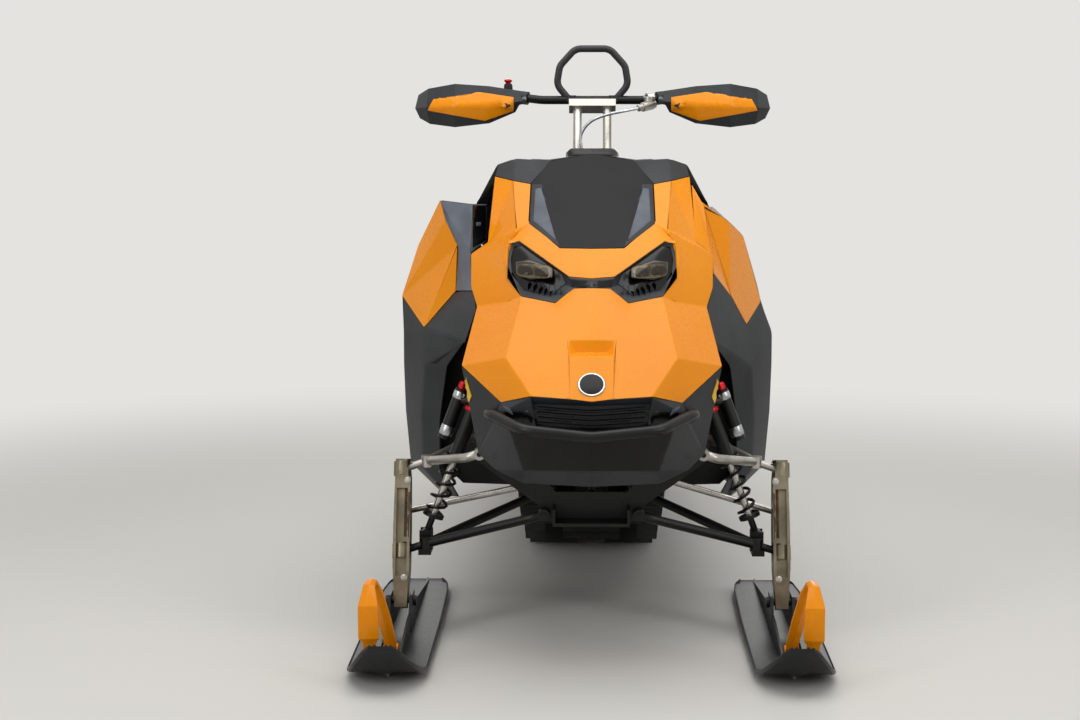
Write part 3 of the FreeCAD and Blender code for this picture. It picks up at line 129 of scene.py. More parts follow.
# Ground concrete with a matt seal, flecked at about 15 mm; far off it passes into the backdrop
concrete = bpy.data.materials.new("pale_floor")
concrete.use_nodes = True
shader = concrete.node_tree.nodes["Principled BSDF"]
shader.inputs["Base Color"].default_value = linear("D6D4CF")
shader.inputs["Roughness"].default_value = 0.75
place = add(concrete, "TexCoord", {}).outputs["Object"]
fleck = add(concrete, "TexNoise", {"Vector": place, "Scale": 60.0, "Detail": 3.0})
add(
    concrete,
    "Bump",
    {"Height": fleck.outputs["Fac"], "Strength": 0.05, "Distance": 0.002},
    {"Normal": shader.inputs["Normal"]},
)
reach = add(concrete, "VectorMath", {0: place}, operation="LENGTH")
far = add(
    concrete,
    "MapRange",
    {"Value": reach.outputs["Value"], "From Min": 1.5, "From Max": 3.9},
    interpolation_type="SMOOTHSTEP",
)
camera_ray = add(concrete, "LightPath", {}).outputs["Is Camera Ray"]
seen = add(concrete, "Math", {0: far.outputs["Result"], 1: camera_ray}, operation="MULTIPLY")
glow = add(concrete, "Emission", {"Color": BACKDROP})
add(
    concrete,
    "MixShader",
    {0: seen.outputs[0], 1: shader.outputs["BSDF"], 2: glow.outputs["Emission"]},
    {"Shader": concrete.node_tree.nodes["Material Output"].inputs["Surface"]},
)
floor_mesh.materials.append(concrete)

# Brake hose
# Teflon hose in a stainless braid, 8 mm over the braid, crimped to the master
# cylinder on the bar and led down into the block under the risers.
HOSE_DIAMETER = 0.008
HOSE = (
    (0.116, -0.586, 1.262), (0.084, -0.606, 1.256), (0.038, -0.612, 1.247), (-0.004, -0.612, 1.232),
    (-0.030, -0.606, 1.200), (-0.030, -0.606, 1.168), (-0.022, -0.606, 1.140),
)


def finish(name, shades, drift, grain, rough, relief, stretch=(1, 1, 1), cells=False, **values):
    """A material from sizes in mm: two sRGB shades that drift into each other over `drift`, a
    pattern of `grain` with `relief` that also spreads the roughness, and plain shader values."""
    material = bpy.data.materials.new(name)
    material.use_nodes = True
    shader = material.node_tree.nodes["Principled BSDF"]
    for socket, value in values.items():
        shader.inputs[socket.replace("_", " ")].default_value = value
    place = add(material, "TexCoord", {}).outputs["Object"]
    cloud = add(material, "TexNoise", {"Vector": place, "Scale": 1000 / drift, "Detail": 4.0})
    shade = add(material, "ValToRGB", {"Fac": cloud.outputs["Fac"]}, {"Color": shader.inputs["Base Color"]})
    for stop, position, code in zip(shade.color_ramp.elements, (0.35, 0.68), shades):
        stop.position = position
        stop.color = linear(code)
    run = add(material, "Mapping", {"Vector": place, "Scale": [1000 / grain / s for s in stretch]})
    kind, output = ("TexVoronoi", "Distance") if cells else ("TexNoise", "Fac")
    pattern = add(material, kind, {"Vector": run.outputs["Vector"], "Scale": 1.0}).outputs[output]
    add(material, "MapRange", {"Value": pattern, "To Min": rough[0], "To Max": rough[1]},
        {"Result": shader.inputs["Roughness"]})
    add(material, "Bump", {"Height": pattern, "Distance": relief / 1000, "Strength": 0.6},
        {"Normal": shader.inputs["Normal"]})
    return material


# Braided steel: bright crossing wires, a little duller where the sleeve has rubbed
braided_steel = finish("braided_steel", ("9EA2A6", "C9CCCF"), 12, 2.0, (0.25, 0.5), 0.25, cells=True,
                       Metallic=1.0)
line = bpy.data.curves.new("brake_hose_line", "CURVE")
line.dimensions = "3D"
line.bevel_depth = HOSE_DIAMETER / 2
line.bevel_resolution = 5
line.resolution_u = 24
spline = line.splines.new("NURBS")
spline.points.add(len(HOSE) - 1)
for point, place in zip(spline.points, HOSE):
    point.co = (*place, 1)
spline.order_u = 3
spline.use_endpoint_u = True
line.materials.append(braided_steel)
hose = bpy.data.objects.new("brake_hose_braid", line)
bpy.context.collection.objects.link(hose)
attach(hose, "steering")


# Track
# An endless belt of moulded rubber with rows of deep paddles, driven by the
# sprockets inside it. Matt and dusty, with a fine cast texture.
def finish_nodes(material, *nodes):
    """Gives CAD nodes their material."""
    for node in nodes:
        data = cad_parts[node].data
        data.materials.clear()
        data.materials.append(material)


track_rubber = finish("track_rubber", ("0E0E0E", "1B1B1A"), 70, 1.6, (0.62, 0.9), 0.5)
finish_nodes(track_rubber, "track")

# Skid, rails and wheels
# Extruded aluminium rails with plastic sliders, moulded wheels, and black arms
# with two shocks between them.

# Extruded and clear anodised: dull silver with die lines along the rail
rail_aluminium = finish("rail_aluminium", ("84878B", "A4A7AA"), 140, 1.5, (0.3, 0.52), 0.2, (1, 60, 1),
                        Metallic=1.0)
# Low-friction polyethylene: waxy black
slider_plastic = finish("slider_plastic", ("18181A", "242426"), 90, 1.2, (0.42, 0.6), 0.2, cells=True,
                        IOR=1.51)
# Glass-filled nylon: black with a slightly rough skin
wheel_nylon = finish("wheel_nylon", ("151516", "212122"), 60, 1.1, (0.4, 0.6), 0.2, cells=True, IOR=1.53)
# Powder coat on steel: satin black with a faint orange peel
black_powder = finish("black_powder_coat", ("080809", "121213"), 80, 2.4, (0.28, 0.46), 0.3, IOR=1.38)
# Anodised aluminium shock bodies: bright with fine turning marks
shock_alloy = finish("shock_alloy", ("9FA1A4", "C2C3C5"), 55, 1.2, (0.18, 0.36), 0.2, Metallic=1.0)
finish_nodes(rail_aluminium, "rails")
finish_nodes(slider_plastic, "rail_sliders")
finish_nodes(wheel_nylon, "carrier_wheels", "rear_axle_wheels", "drive_axle")
finish_nodes(black_powder, "front_swing_arm", "rear_swing_arm")
finish_nodes(shock_alloy, "skid_shocks")


def rounded(item, width, segments=3, angle=30.0):
    """Rounds the edges of a piece, in mm, where its faces fold by more than an angle."""
    bevel = item.modifiers.new("rounded", "BEVEL")
    bevel.width = width / 1000
    bevel.segments = segments
    bevel.limit_method = "ANGLE"
    bevel.angle_limit = math.radians(angle)


def soften(node, width, angle=25.0, segments=3):
    """Rounds the edges of a CAD node, in mm, as its mould or die does."""
    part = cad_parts[node]
    weld = part.modifiers.new("weld", "WELD")
    weld.merge_threshold = 0.00005
    rounded(part, width, segments, angle)
    normals = part.modifiers.new("even_shading", "WEIGHTED_NORMAL")
    normals.mode = "FACE_AREA_WITH_ANGLE"
    normals.keep_sharp = False


soften("rails", 1.2)

# Tunnel
# One folded sheet of aluminium from the engine bay to the rear, riveted together,
# with running boards, a bumper bar, a flap and a lamp.

# Black paint on rolled sheet: satin, rubbed where boots and snow pass
tunnel_paint = finish("tunnel_paint", ("161718", "242527"), 160, 3.0, (0.3, 0.5), 0.2, (1, 8, 1), IOR=1.5)
# The same paint over a pressed, rougher board
board_paint = finish("board_paint", ("1A1B1C", "2C2D2F"), 60, 2.0, (0.38, 0.6), 0.3, IOR=1.5)
# Moulded rubber sheet: matt black
flap_rubber = finish("flap_rubber", ("121212", "1E1E1E"), 90, 1.8, (0.5, 0.75), 0.5)
# Orange powder coat on steel tube: even, with a faint orange peel
bumper_orange = finish("orange_powder_coat", ("E07C08", "EE8E10"), 90, 2.4, (0.25, 0.4), 0.25, IOR=1.5)
# Moulded acrylic lens: prisms near 4 mm behind a smooth face
red_acrylic = finish("red_acrylic", ("8E0B10", "B01218"), 40, 4.0, (0.06, 0.2), 0.8, cells=True, IOR=1.49,
                     Coat_Weight=1.0)
finish_nodes(tunnel_paint, "tunnel")
finish_nodes(board_paint, "running_boards")
finish_nodes(bumper_orange, "rear_bumper")
finish_nodes(flap_rubber, "snow_flap")
finish_nodes(red_acrylic, "tail_light")
soften("tunnel", 1.5)
soften("snow_flap", 1.5)
soften("tail_light", 3.0)


def surface(name):
    """The faces of a CAD node or of a piece made here, to find where something sits on them."""
    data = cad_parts.get(name, bpy.data.objects.get(name)).data
    return BVHTree.FromPolygons([v.co for v in data.vertices], [p.vertices for p in data.polygons])


def touch(tree, start, along):
    """The first point that a line meets on a surface, and the way that the surface faces there."""
    place, normal, _, _ = tree.ray_cast(Vector(start), Vector(along))
    if place is None:
        place, normal, _, _ = tree.find_nearest(Vector(start))
    if normal.dot(Vector(along)) > 0:
        normal = -normal
    return place, normal


def loft(form, rings, caps=True):
    """Joins rings of vertices, one after the other, and closes both ends."""
    for low, high in zip(rings, rings[1:]):
        for k in range(len(low)):
            following = (k + 1) % len(low)
            form.faces.new((low[k], low[following], high[following], high[k]))
    if caps:
        form.faces.new(rings[0])
        form.faces.new(rings[-1])


def turned(form, profile, start, along, sides=24):
    """Adds a turned solid to a mesh: rows of distance along its axis and radius, in mm."""
    along = Vector(along).normalized()
    across = along.orthogonal().normalized()
    other = along.cross(across)
    rings = []
    for distance, radius in profile:
        centre = Vector(start) + along * distance / 1000
        ring = []
        for i in range(sides):
            angle = 2 * math.pi * i / sides
            spoke = across * math.cos(angle) + other * math.sin(angle)
            ring.append(form.verts.new(centre + spoke * radius / 1000))
        rings.append(ring)
    loft(form, rings)


def put(name, form, material, body):
    """Turns a mesh, as its faces lie, into a smooth piece that rides on a body."""
    data = bpy.data.meshes.new(name)
    form.to_mesh(data)
    form.free()
    data.shade_smooth()
    data.materials.append(material)
    item = bpy.data.objects.new(name, data)
    bpy.context.collection.objects.link(item)
    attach(item, body)
    return item


def make(name, form, material, body="chassis", smooth=35.0):
    """Turns a closed mesh into a piece whose edges stay sharp above an angle."""
    bmesh.ops.recalc_face_normals(form, faces=form.faces)
    item = put(name, form, material, body)
    item.data.set_sharp_from_angle(angle=math.radians(smooth))
    return item


# Dome-head rivets, 8 mm across, that hold the tunnel's top and sides to their brackets
RIVET = ((-0.5, 4.0), (0.6, 4.0), (1.6, 2.9), (2.1, 1.2))
TOP_RIVETS = [0.46 + 0.09 * i for i in range(9)]
TOP_RIVET_X = 0.19
SIDE_RIVETS = [-0.28 + 0.11 * i for i in range(14)]
SIDE_RIVET_Z = 0.40
rivet_metal = finish("rivet_aluminium", ("8D9094", "B4B7BA"), 30, 1.0, (0.2, 0.4), 0.1, Metallic=1.0)
tunnel_faces = surface("tunnel")
form = bmesh.new()
for y in TOP_RIVETS:
    for x in (-TOP_RIVET_X, TOP_RIVET_X):
        turned(form, RIVET, *touch(tunnel_faces, (x, y, 0.9), (0, 0, -1)), 10)
for y in SIDE_RIVETS:
    for x in (-1, 1):
        turned(form, RIVET, *touch(tunnel_faces, (x, y, SIDE_RIVET_Z), (-x, 0, 0)), 10)
make("tunnel_rivets", form, rivet_metal)

# Front frame and engine
# Cast and welded black frame ahead of the tunnel that carries the suspension
# arms and the engine, with silver upper arms and forged ski legs.
SIDES = ((1, "left"), (-1, "right"))

# Sand-cast aluminium: grey with a coarse skin
engine_casting = finish("engine_casting", ("4A4C4F", "66686B"), 50, 3.0, (0.45, 0.7), 0.7, Metallic=1.0)
# Silver-grey paint over steel tube
silver_paint = finish("silver_paint", ("A39F98", "C0BCB4"), 70, 1.6, (0.26, 0.42), 0.15, Metallic=0.85)
# Forged and bronze-grey anodised
forged_alloy = finish("forged_alloy", ("6E6757", "8F8672"), 45, 1.8, (0.28, 0.46), 0.35, Metallic=1.0)
# Bright turned aluminium and chromed shafts
rod_alloy = finish("rod_alloy", ("ABA8A2", "CCC9C2"), 60, 1.2, (0.2, 0.34), 0.15, Metallic=1.0)
finish_nodes(black_powder, "bulkhead", "upper_frame", "lower_arms", "front_bumper", "steering_crank")
finish_nodes(black_powder, "front_shocks")
finish_nodes(engine_casting, "engine_block")
finish_nodes(silver_paint, "upper_arms")
finish_nodes(forged_alloy, "spindle_left", "spindle_right")
finish_nodes(rod_alloy, "tie_rod_left", "tie_rod_right")
for node in ("bulkhead", "spindle_left", "spindle_right"):
    soften(node, 2.0)

# Shock dampers: a chromed shaft inside the spring, a remote reservoir with bright
# bands and a knob of red anodised aluminium
red_anodised = finish("red_anodised", ("A80F16", "C8141C"), 12, 1.0, (0.2, 0.35), 0.1, Metallic=0.7)
SHOCK_TOP = Vector((0.262, -0.985, 0.606))
SHOCK_FOOT = Vector((0.400, -0.985, 0.238))
RESERVOIR_OUT = Vector((0.044, 0.020, 0))
SHAFT_RADIUS = 8.6
shafts, bands, knobs = bmesh.new(), bmesh.new(), bmesh.new()
for side in (1, -1):
    flip = Vector((side, 1, 1))
    top, foot = SHOCK_TOP * flip, SHOCK_FOOT * flip
    along = (foot - top).normalized()
    length = (foot - top).length * 1000
    turned(shafts, ((length / 2 + 2, SHAFT_RADIUS), (length - 48, SHAFT_RADIUS)), top, along)
    turned(shafts, ((40, 20.6), (52, 20.6), (54, 19)), top, along)
    start = top + RESERVOIR_OUT * flip
    turned(bands, ((24, 16.3), (26, 17.0), (40, 17.0), (42, 16.3)), start, along)
    turned(bands, ((112, 16.3), (114, 17.0), (134, 17.0), (136, 16.3)), start, along)
    knob = [(4, 9), (-2, 12)]
    for groove in (-4, -7, -10, -13, -16):
        knob += [(groove, 13.5), (groove - 1.5, 12.6)]
    turned(knobs, knob + [(-21, 10)], start + along * 0.020, along, 20)
    turned(knobs, ((62, 20.8), (64, 21.2), (70, 21.2), (72, 20.8)), top, along)
make("shock_shafts", shafts, rod_alloy)
make("shock_bands", bands, shock_alloy)
make("shock_knobs", knobs, red_anodised)


AHEAD = -3                             # y in m from where a line looks back for a surface


def ahead(tree, x, z):
    """Where a line from straight ahead meets a surface, at x and z in mm, and the way it faces."""
    return touch(tree, (x / 1000, AHEAD, z / 1000), (0, 1, 0))


def inlay(name, node, outline, lift, wall, material, body="chassis", spacing=14.0):
    """A thin plate on a CAD node or a piece, from its outline in mm as x and z seen from the front."""
    tree = surface(node)
    form = bmesh.new()
    form.faces.new([form.verts.new((x / 1000, AHEAD, z / 1000)) for x, z in outline])
    bmesh.ops.triangulate(form, faces=form.faces)
    for _ in range(6):
        long = [e for e in form.edges if e.calc_length() > spacing / 1000]
        if not long:
            break
        bmesh.ops.subdivide_edges(form, edges=long, cuts=1)
        bmesh.ops.triangulate(form, faces=form.faces)
    for vertex in form.verts:
        place, normal = touch(tree, vertex.co, (0, 1, 0))
        vertex.co = place + normal * lift / 1000
    bmesh.ops.recalc_face_normals(form, faces=form.faces)
    if sum(f.normal.y for f in form.faces) > 0:
        bmesh.ops.reverse_faces(form, faces=form.faces)
    item = put(name, form, material, body)
    thick = item.modifiers.new("wall", "SOLIDIFY")
    thick.thickness = wall / 1000
    thick.offset = 1
    rounded(item, wall / 3.5, 2, 50.0)


# The forged legs are open channels with plated bolts through their joints; the shaded web
# between the bright edges of each is painted as a thin dark brown plate on the leg
LEG_BOLT = ((-1, 8), (1.5, 8), (1.6, 6.2), (5.5, 6.0), (6.4, 4.8))
painted_web_shade = finish("painted_web_shade", ("3A2C1E", "5C4630"), 25, 2.0, (0.4, 0.6), 0.4, Metallic=0.6)
for side, name in SIDES:
    leg_name = "spindle_" + name
    leg = surface(leg_name)
    web = [(side * x, z) for x, z in ((436, 352), (450, 352), (451, 240), (437, 240))]
    inlay("leg_painted_shade_" + name, leg_name, web, 0.2, 0.5, painted_web_shade, leg_name, 10.0)
    form = bmesh.new()
    for x, z in ((443, 372), (447, 150)):
        turned(form, LEG_BOLT, *ahead(leg, side * x, z), 12)
    make("leg_bolts_" + name, form, rod_alloy, leg_name)

# Skis
# Blow-moulded black skis with a carbide runner underneath and a broad orange
# handle at the tip.

# High-density polyethylene: black, waxy, scuffed in streaks along the ski
ski_plastic = finish("ski_polyethylene", ("0E0E10", "1A1A1D"), 90, 1.6, (0.3, 0.5), 0.25, (1, 14, 1), IOR=1.4)
# Ground steel with a carbide edge, scored lengthways
runner_steel = finish("runner_steel", ("83868A", "A5A7AA"), 40, 1.2, (0.24, 0.42), 0.2, (1, 20, 1),
                      Metallic=1.0)
# Through-coloured polypropylene from a polished mould: clean orange with a soft, barely rippled gloss
orange_gloss = finish("orange_moulding", ("F08F04", "F69808"), 320, 7.0, (0.24, 0.32), 0.02, IOR=1.26,
                      Coat_Weight=0.12, Coat_Roughness=0.04)
finish_nodes(ski_plastic, "ski_left", "ski_right")
finish_nodes(runner_steel, "ski_runner_left", "ski_runner_right")
for side in ("left", "right"):
    soften("ski_" + side, 0.7, 40.0, 2)

# The handle is a flat ribbon with a raised middle line, rolled round a barrel at its rear foot
SKI_X = 455
BARREL = ((0, 13.5), (1.5, 15), (32.5, 15), (34, 13.5))
BARREL_HALF = 17
LOOP_RIBBON = (
    # outboard of the ski's middle, y, z, half width, lean of an edge to the rear, half thickness in y and z
    (30, -1486, 42, 15, 0, 8, 0), (33, -1497, 96, 15, 0, 8, 0), (34, -1502, 106, 23, 0, 8, 0),
    (36, -1494, 176, 22, 0, 8, 2), (36, -1462, 214, 13, 2, 5, 6), (33, -1432, 218, 12, 4, 1, 8),
    (26, -1404, 190, 15, 8, -7, 6), (13, -1376, 124, 17, 10, -8, 4), (2, -1350, 66, 15, 6, -8, 4),
    (0, -1336, 36, 14, 3, -8, 2),
)
RIBBON_CORNERS = ((-1, -0.55), (0, -1), (1, -0.55), (1, 0.55), (0, 1), (-1, 0.55))


def vertices(form, points):
    """Adds vertices at points in mm."""
    return [form.verts.new([p / 1000 for p in point]) for point in points]


for side, name in SIDES:
    form = bmesh.new()
    rings = []
    for out, y, z, half, lean, deep_y, deep_z in LOOP_RIBBON:
        rings.append(vertices(form, [
            (side * (SKI_X + out + u * half), y + u * lean + v * deep_y, z - v * deep_z)
            for u, v in RIBBON_CORNERS
        ]))
    loft(form, rings)
    turned(form, BARREL, ((side * SKI_X - BARREL_HALF) / 1000, -1.334, 0.038), (1, 0, 0))
    loop = make("loop_ribbon_" + name, form, orange_gloss, "ski_assembly_" + name, 50.0)
    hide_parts("ski_loop_" + name)
    rounded(loop, 3, angle=20.0)

# Hood
# Thin injection-moulded orange shell over the engine. A ridge runs down its
# middle, folds run from the lamps to the lip and a small scoop opens low down.

# Corners of the bodywork on its right half, in mm: distance from the middle, y and z
CORNERS = {
    "brow_mid": (0, -1205, 877), "shield_low_mid": (0, -1105, 939), "shield_low": (75, -1085, 939),
    "lamp_c": (53, -1175, 879), "shield_wide": (151, -985, 990), "lamp_b": (173, -1030, 952),
    "crease_top": (181, -1000, 976), "lamp_a": (199, -1015, 949), "shield_side": (149, -860, 1080),
    "arm_in": (191, -845, 1087), "arm_out": (240, -800, 1097), "arm_low": (248, -930, 945),
    "crease_mid": (217, -1055, 866), "lamp_g": (202, -1070, 870), "lamp_h": (206, -1035, 914),
    "notch_top": (292, -930, 914), "notch_low": (289, -990, 839), "crease_low": (196, -1110, 814),
    "waist": (273, -1030, 795), "lamp_f": (165, -1130, 830), "lamp_d": (42, -1195, 854),
    "lamp_e": (84, -1215, 822), "scoop_top": (52, -1345, 751), "strip_mid": (0, -1220, 857),
    "scoop_top_mid": (0, -1358, 752), "fold": (194, -1325, 708), "lip_side": (134, -1440, 636),
    "lip": (48, -1468, 634), "scoop_low": (50, -1388, 719), "wide": (299, -1220, 677),
    "lip_corner": (203, -1360, 611), "pocket": (35, -1355, 722), "pocket_mid": (0, -1362, 723),
    "scoop_low_mid": (0, -1400, 721), "lip_mid": (0, -1475, 629),
}
HOOD = """
    brow_mid shield_low_mid shield_low lamp_c, shield_low shield_wide lamp_b lamp_c,
    shield_wide crease_top lamp_a lamp_b, shield_side arm_in crease_top shield_wide,
    arm_in arm_out arm_low crease_top, lamp_a crease_top crease_mid lamp_g lamp_h,
    crease_top arm_low notch_top crease_mid, crease_mid notch_top notch_low crease_low,
    crease_low notch_low waist, lamp_g crease_mid crease_low lamp_f, lamp_d lamp_e scoop_top,
    lamp_e lamp_f scoop_top, strip_mid lamp_d scoop_top scoop_top_mid, lamp_f crease_low fold scoop_top,
    crease_low waist fold, scoop_top fold lip_side lip scoop_low, fold waist wide lip_corner lip_side,
    scoop_top_mid scoop_top pocket pocket_mid, scoop_top scoop_low pocket,
    pocket_mid pocket scoop_low scoop_low_mid, scoop_low_mid scoop_low lip lip_mid
"""
HEART = Vector((0, -0.600, 0.550))     # the panels' outer faces look away from here
SHUT_LINE = 1.2                        # half the gap between neighbouring panels
LEFT_WIDTH = 0.955                     # the left flank's width, as a share of the right one's
WALL = 3.5                             # thickness of the panels
LEAST_FOLD = 14                        # degrees from which a fold is rounded
LEAST_CORNER = 0.4                     # bounds how far the rim moves at a sharp corner


def moulded(name, faces, material, nodes=(), sides=(1, -1), fold=5.0, flat=10.0):
    """A moulded panel from faces that name their corners: neighbours share corners, its rims stand
    back by the shut line, its folds are rounded by `fold` in mm and its wall goes inward. Faces that
    bend by less than `flat` degrees stay whole."""
    form = bmesh.new()
    made = {}
    diagonals = []
    for side in sides:
        for face in faces.split(","):
            ring = []
            for key in face.split():
                x, y, z = CORNERS[key]
                if side == 1 and key.startswith("flank"):
                    x *= LEFT_WIDTH
                x *= side
                made[x, y, z] = made.get((x, y, z)) or form.verts.new(Vector((x, y, z)) / 1000)
                ring.append(made[x, y, z])
            fan = [form.faces.new((ring[0], b, c)) for b, c in zip(ring[1:], ring[2:])]
            diagonals += [form.edges.get((ring[0], c)) for c in ring[2:-1]]
            middle = sum((v.co for v in ring), Vector()) / len(ring)
            look = Vector()
            for part in fan:
                part.normal_update()
                look += part.normal * part.calc_area()
            if look.dot(middle - HEART) < 0:
                bmesh.ops.reverse_faces(form, faces=fan)
    form.normal_update()
    bmesh.ops.dissolve_edges(form, edges=[e for e in diagonals if e.calc_face_angle() < math.radians(flat)])
    form.normal_update()
    pull = {}
    for edge in [e for e in form.edges if e.is_boundary]:
        loop = edge.link_loops[0]
        inward = loop.face.normal.cross(loop.link_loop_next.vert.co - loop.vert.co).normalized()
        for vertex in edge.verts:
            pull.setdefault(vertex, []).append(inward)
    for vertex, ways in pull.items():
        way = sum(ways, Vector())
        vertex.co += way * (SHUT_LINE / 1000 / max(LEAST_CORNER, way.length_squared / 2))
    form.normal_update()
    inside = [e for e in form.edges if len(e.link_faces) == 2]
    folds = [e for e in inside if e.calc_face_angle() > math.radians(LEAST_FOLD)]
    sheet = BVHTree.FromBMesh(form)
    bmesh.ops.bevel(form, geom=folds, offset=fold / 1000, segments=4, profile=0.5, affect="EDGES",
                    clamp_overlap=True)
    # Where a bevel overshoots at a tight corner, its vertices go back to the unrounded sheet
    for vertex in form.verts:
        nearest, _, _, distance = sheet.find_nearest(vertex.co)
        if distance > fold / 2000:
            vertex.co = nearest
    form.normal_update()
    inner = {v: form.verts.new(v.co - v.normal * WALL / 1000) for v in list(form.verts)}
    rims = [e.link_loops[0] for e in form.edges if e.is_boundary]
    rims = [(loop.vert, loop.link_loop_next.vert) for loop in rims]
    for face in list(form.faces):
        form.faces.new([inner[v] for v in reversed(face.verts)])
    for a, b in rims:
        form.faces.new((b, a, inner[a], inner[b]))
    panel = make(name, form, material)
    if nodes:
        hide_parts(*nodes)


moulded("hood_shell", HOOD, orange_gloss, ["hood"])

# Blank round badge, a black disc in a bright rim, pressed into the hood above its lip
badge_black = finish("badge_black", ("0A0A0B", "101011"), 20, 1.0, (0.2, 0.3), 0.05, IOR=1.35)
bright_rim = finish("bright_rim", ("A9ACAF", "CDD0D2"), 20, 1.0, (0.12, 0.25), 0.05, Metallic=1.0)
hood_faces = surface("hood_shell")
place, normal = ahead(hood_faces, 2, 663)
normal = Vector((0, normal.y, normal.z)).normalized()
place.x = 0
form = bmesh.new()
turned(form, ((-4, 30), (1.5, 30), (2.6, 29), (2.6, 26.5), (1.6, 26)), place, normal, 48)
make("badge_rim", form, bright_rim)
form = bmesh.new()
turned(form, ((0, 26.2), (2.0, 26.2), (2.6, 20), (3.0, 10), (3.1, 2)), place, normal, 48)
make("badge_disc", form, badge_black)

# Windshield
# Low matt-black shield that clips into the top of the hood, with a grey inset
# each side of its raised middle.

# Textured polycarbonate: black, evenly matt
shield_black = finish("matt_black_shield", ("161517", "1C1B1D"), 120, 1.0, (0.5, 0.66), 0.12, cells=True,
                      IOR=1.3)
# Grained polypropylene, grey with a cold cast
grey_plastic = finish("grained_grey_plastic", ("25272A", "313337"), 120, 1.4, (0.4, 0.58), 0.2, cells=True,
                      IOR=1.36)
# The same in a lighter grey, and in black
light_grey_plastic = finish("light_grey_plastic", ("4E535D", "626874"), 90, 1.4, (0.4, 0.58), 0.2, cells=True,
                            IOR=1.4)
black_plastic = finish("grained_black_plastic", ("0B0B0C", "141416"), 90, 1.4, (0.36, 0.54), 0.25, cells=True,
                       IOR=1.36)
# Black plastic from a polished mould
gloss_black = finish("gloss_black_plastic", ("070708", "0C0C0D"), 90, 3.0, (0.14, 0.26), 0.05, IOR=1.36)
CORNERS.update({
    "shield_line": (112, -940, 1040), "shield_ridge": (0, -940, 1050), "shield_top": (106, -790, 1134),
    "shield_top_mid": (0, -785, 1151),
})
SHIELD = """
    shield_low_mid shield_low shield_line shield_ridge,
    shield_ridge shield_line shield_top shield_top_mid, shield_low shield_wide shield_line,
    shield_wide shield_side shield_line, shield_side shield_top shield_line
"""
moulded("windshield_shell", SHIELD, shield_black, ["windshield"])
for side, name in SIDES:
    border = [(side * x, z) for x, z in ((77, 941), (148, 991), (146, 1079), (122, 1079), (110, 1040))]
    inlay("shield_border_" + name, "windshield_shell", border, -0.6, 1.4, grey_plastic)
    field = [(side * x, z) for x, z in ((84, 955), (139, 996), (137, 1068), (123, 1070), (106, 1020))]
    inlay("shield_inset_" + name, "windshield_shell", field, 0.9, 1.0, light_grey_plastic)

# Headlights
# Two lamps, each in a deep black cavity with a grey rim: a smoked lens with two
# reflector chambers, over a row of upright cooling fins.
LAMP_MIDDLE = (132, -1120, 892)
LAMP_DRAW = 0.2                        # share by which the cavity narrows towards its middle
LAMP_DEPTH = 16
for letter in "abcdefgh":
    x, y, z = (p + (m - p) * LAMP_DRAW for p, m in zip(CORNERS["lamp_" + letter], LAMP_MIDDLE))
    CORNERS["deep_" + letter] = (x, y + LAMP_DEPTH, z)
x, y, z = LAMP_MIDDLE
CORNERS["deep_mid"] = (x, y + LAMP_DEPTH, z)
pairs = list(zip("abcdefgh", "bcdefgha"))
bezel = ["brow_mid lamp_c lamp_d strip_mid"]
bezel += [f"lamp_{a} lamp_{b} deep_{b} deep_{a}" for a, b in pairs]
bezel += [f"deep_mid deep_{a} deep_{b}" for a, b in pairs]
# The same polypropylene as the console's, a shade lighter
rim_plastic = finish("lamp_rim_plastic", ("26282D", "363A41"), 90, 1.4, (0.3, 0.48), 0.2, cells=True, IOR=1.4)
moulded("lamp_bezel", ",".join(bezel), rim_plastic, fold=2.5, flat=0.0)
strip = [(-44, 857), (44, 857), (52, 874), (-52, 874)]
inlay("lamp_strip", "lamp_bezel", strip, 0.3, 0.8, gloss_black)
# Smoked polycarbonate over warm reflectors
smoked_lens = finish("smoked_lens", ("1C1712", "2E261C"), 30, 6.0, (0.08, 0.2), 0.1, IOR=1.45,
                     Coat_Weight=0.4)
LENS = (
    (180, -1082, 906), (145, -1102, 912), (90, -1143, 897), (90, -1172, 874), (144, -1139, 868),
    (177, -1107, 875),
)
LENS_DEPTHS = (8, 44)                  # its face and its back, behind those corners
lenses = bmesh.new()
for side in (1, -1):
    loft(lenses, [vertices(lenses, [(side * x, y + back, z) for x, y, z in LENS]) for back in LENS_DEPTHS])
lens_piece = make("lamp_lenses", lenses, smoked_lens)
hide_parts("headlights")
rounded(lens_piece, 5, 4)
cavity = [CORNERS["deep_" + letter][::2] for letter in "abcdefgh"]
bezel_faces = surface("lamp_bezel")
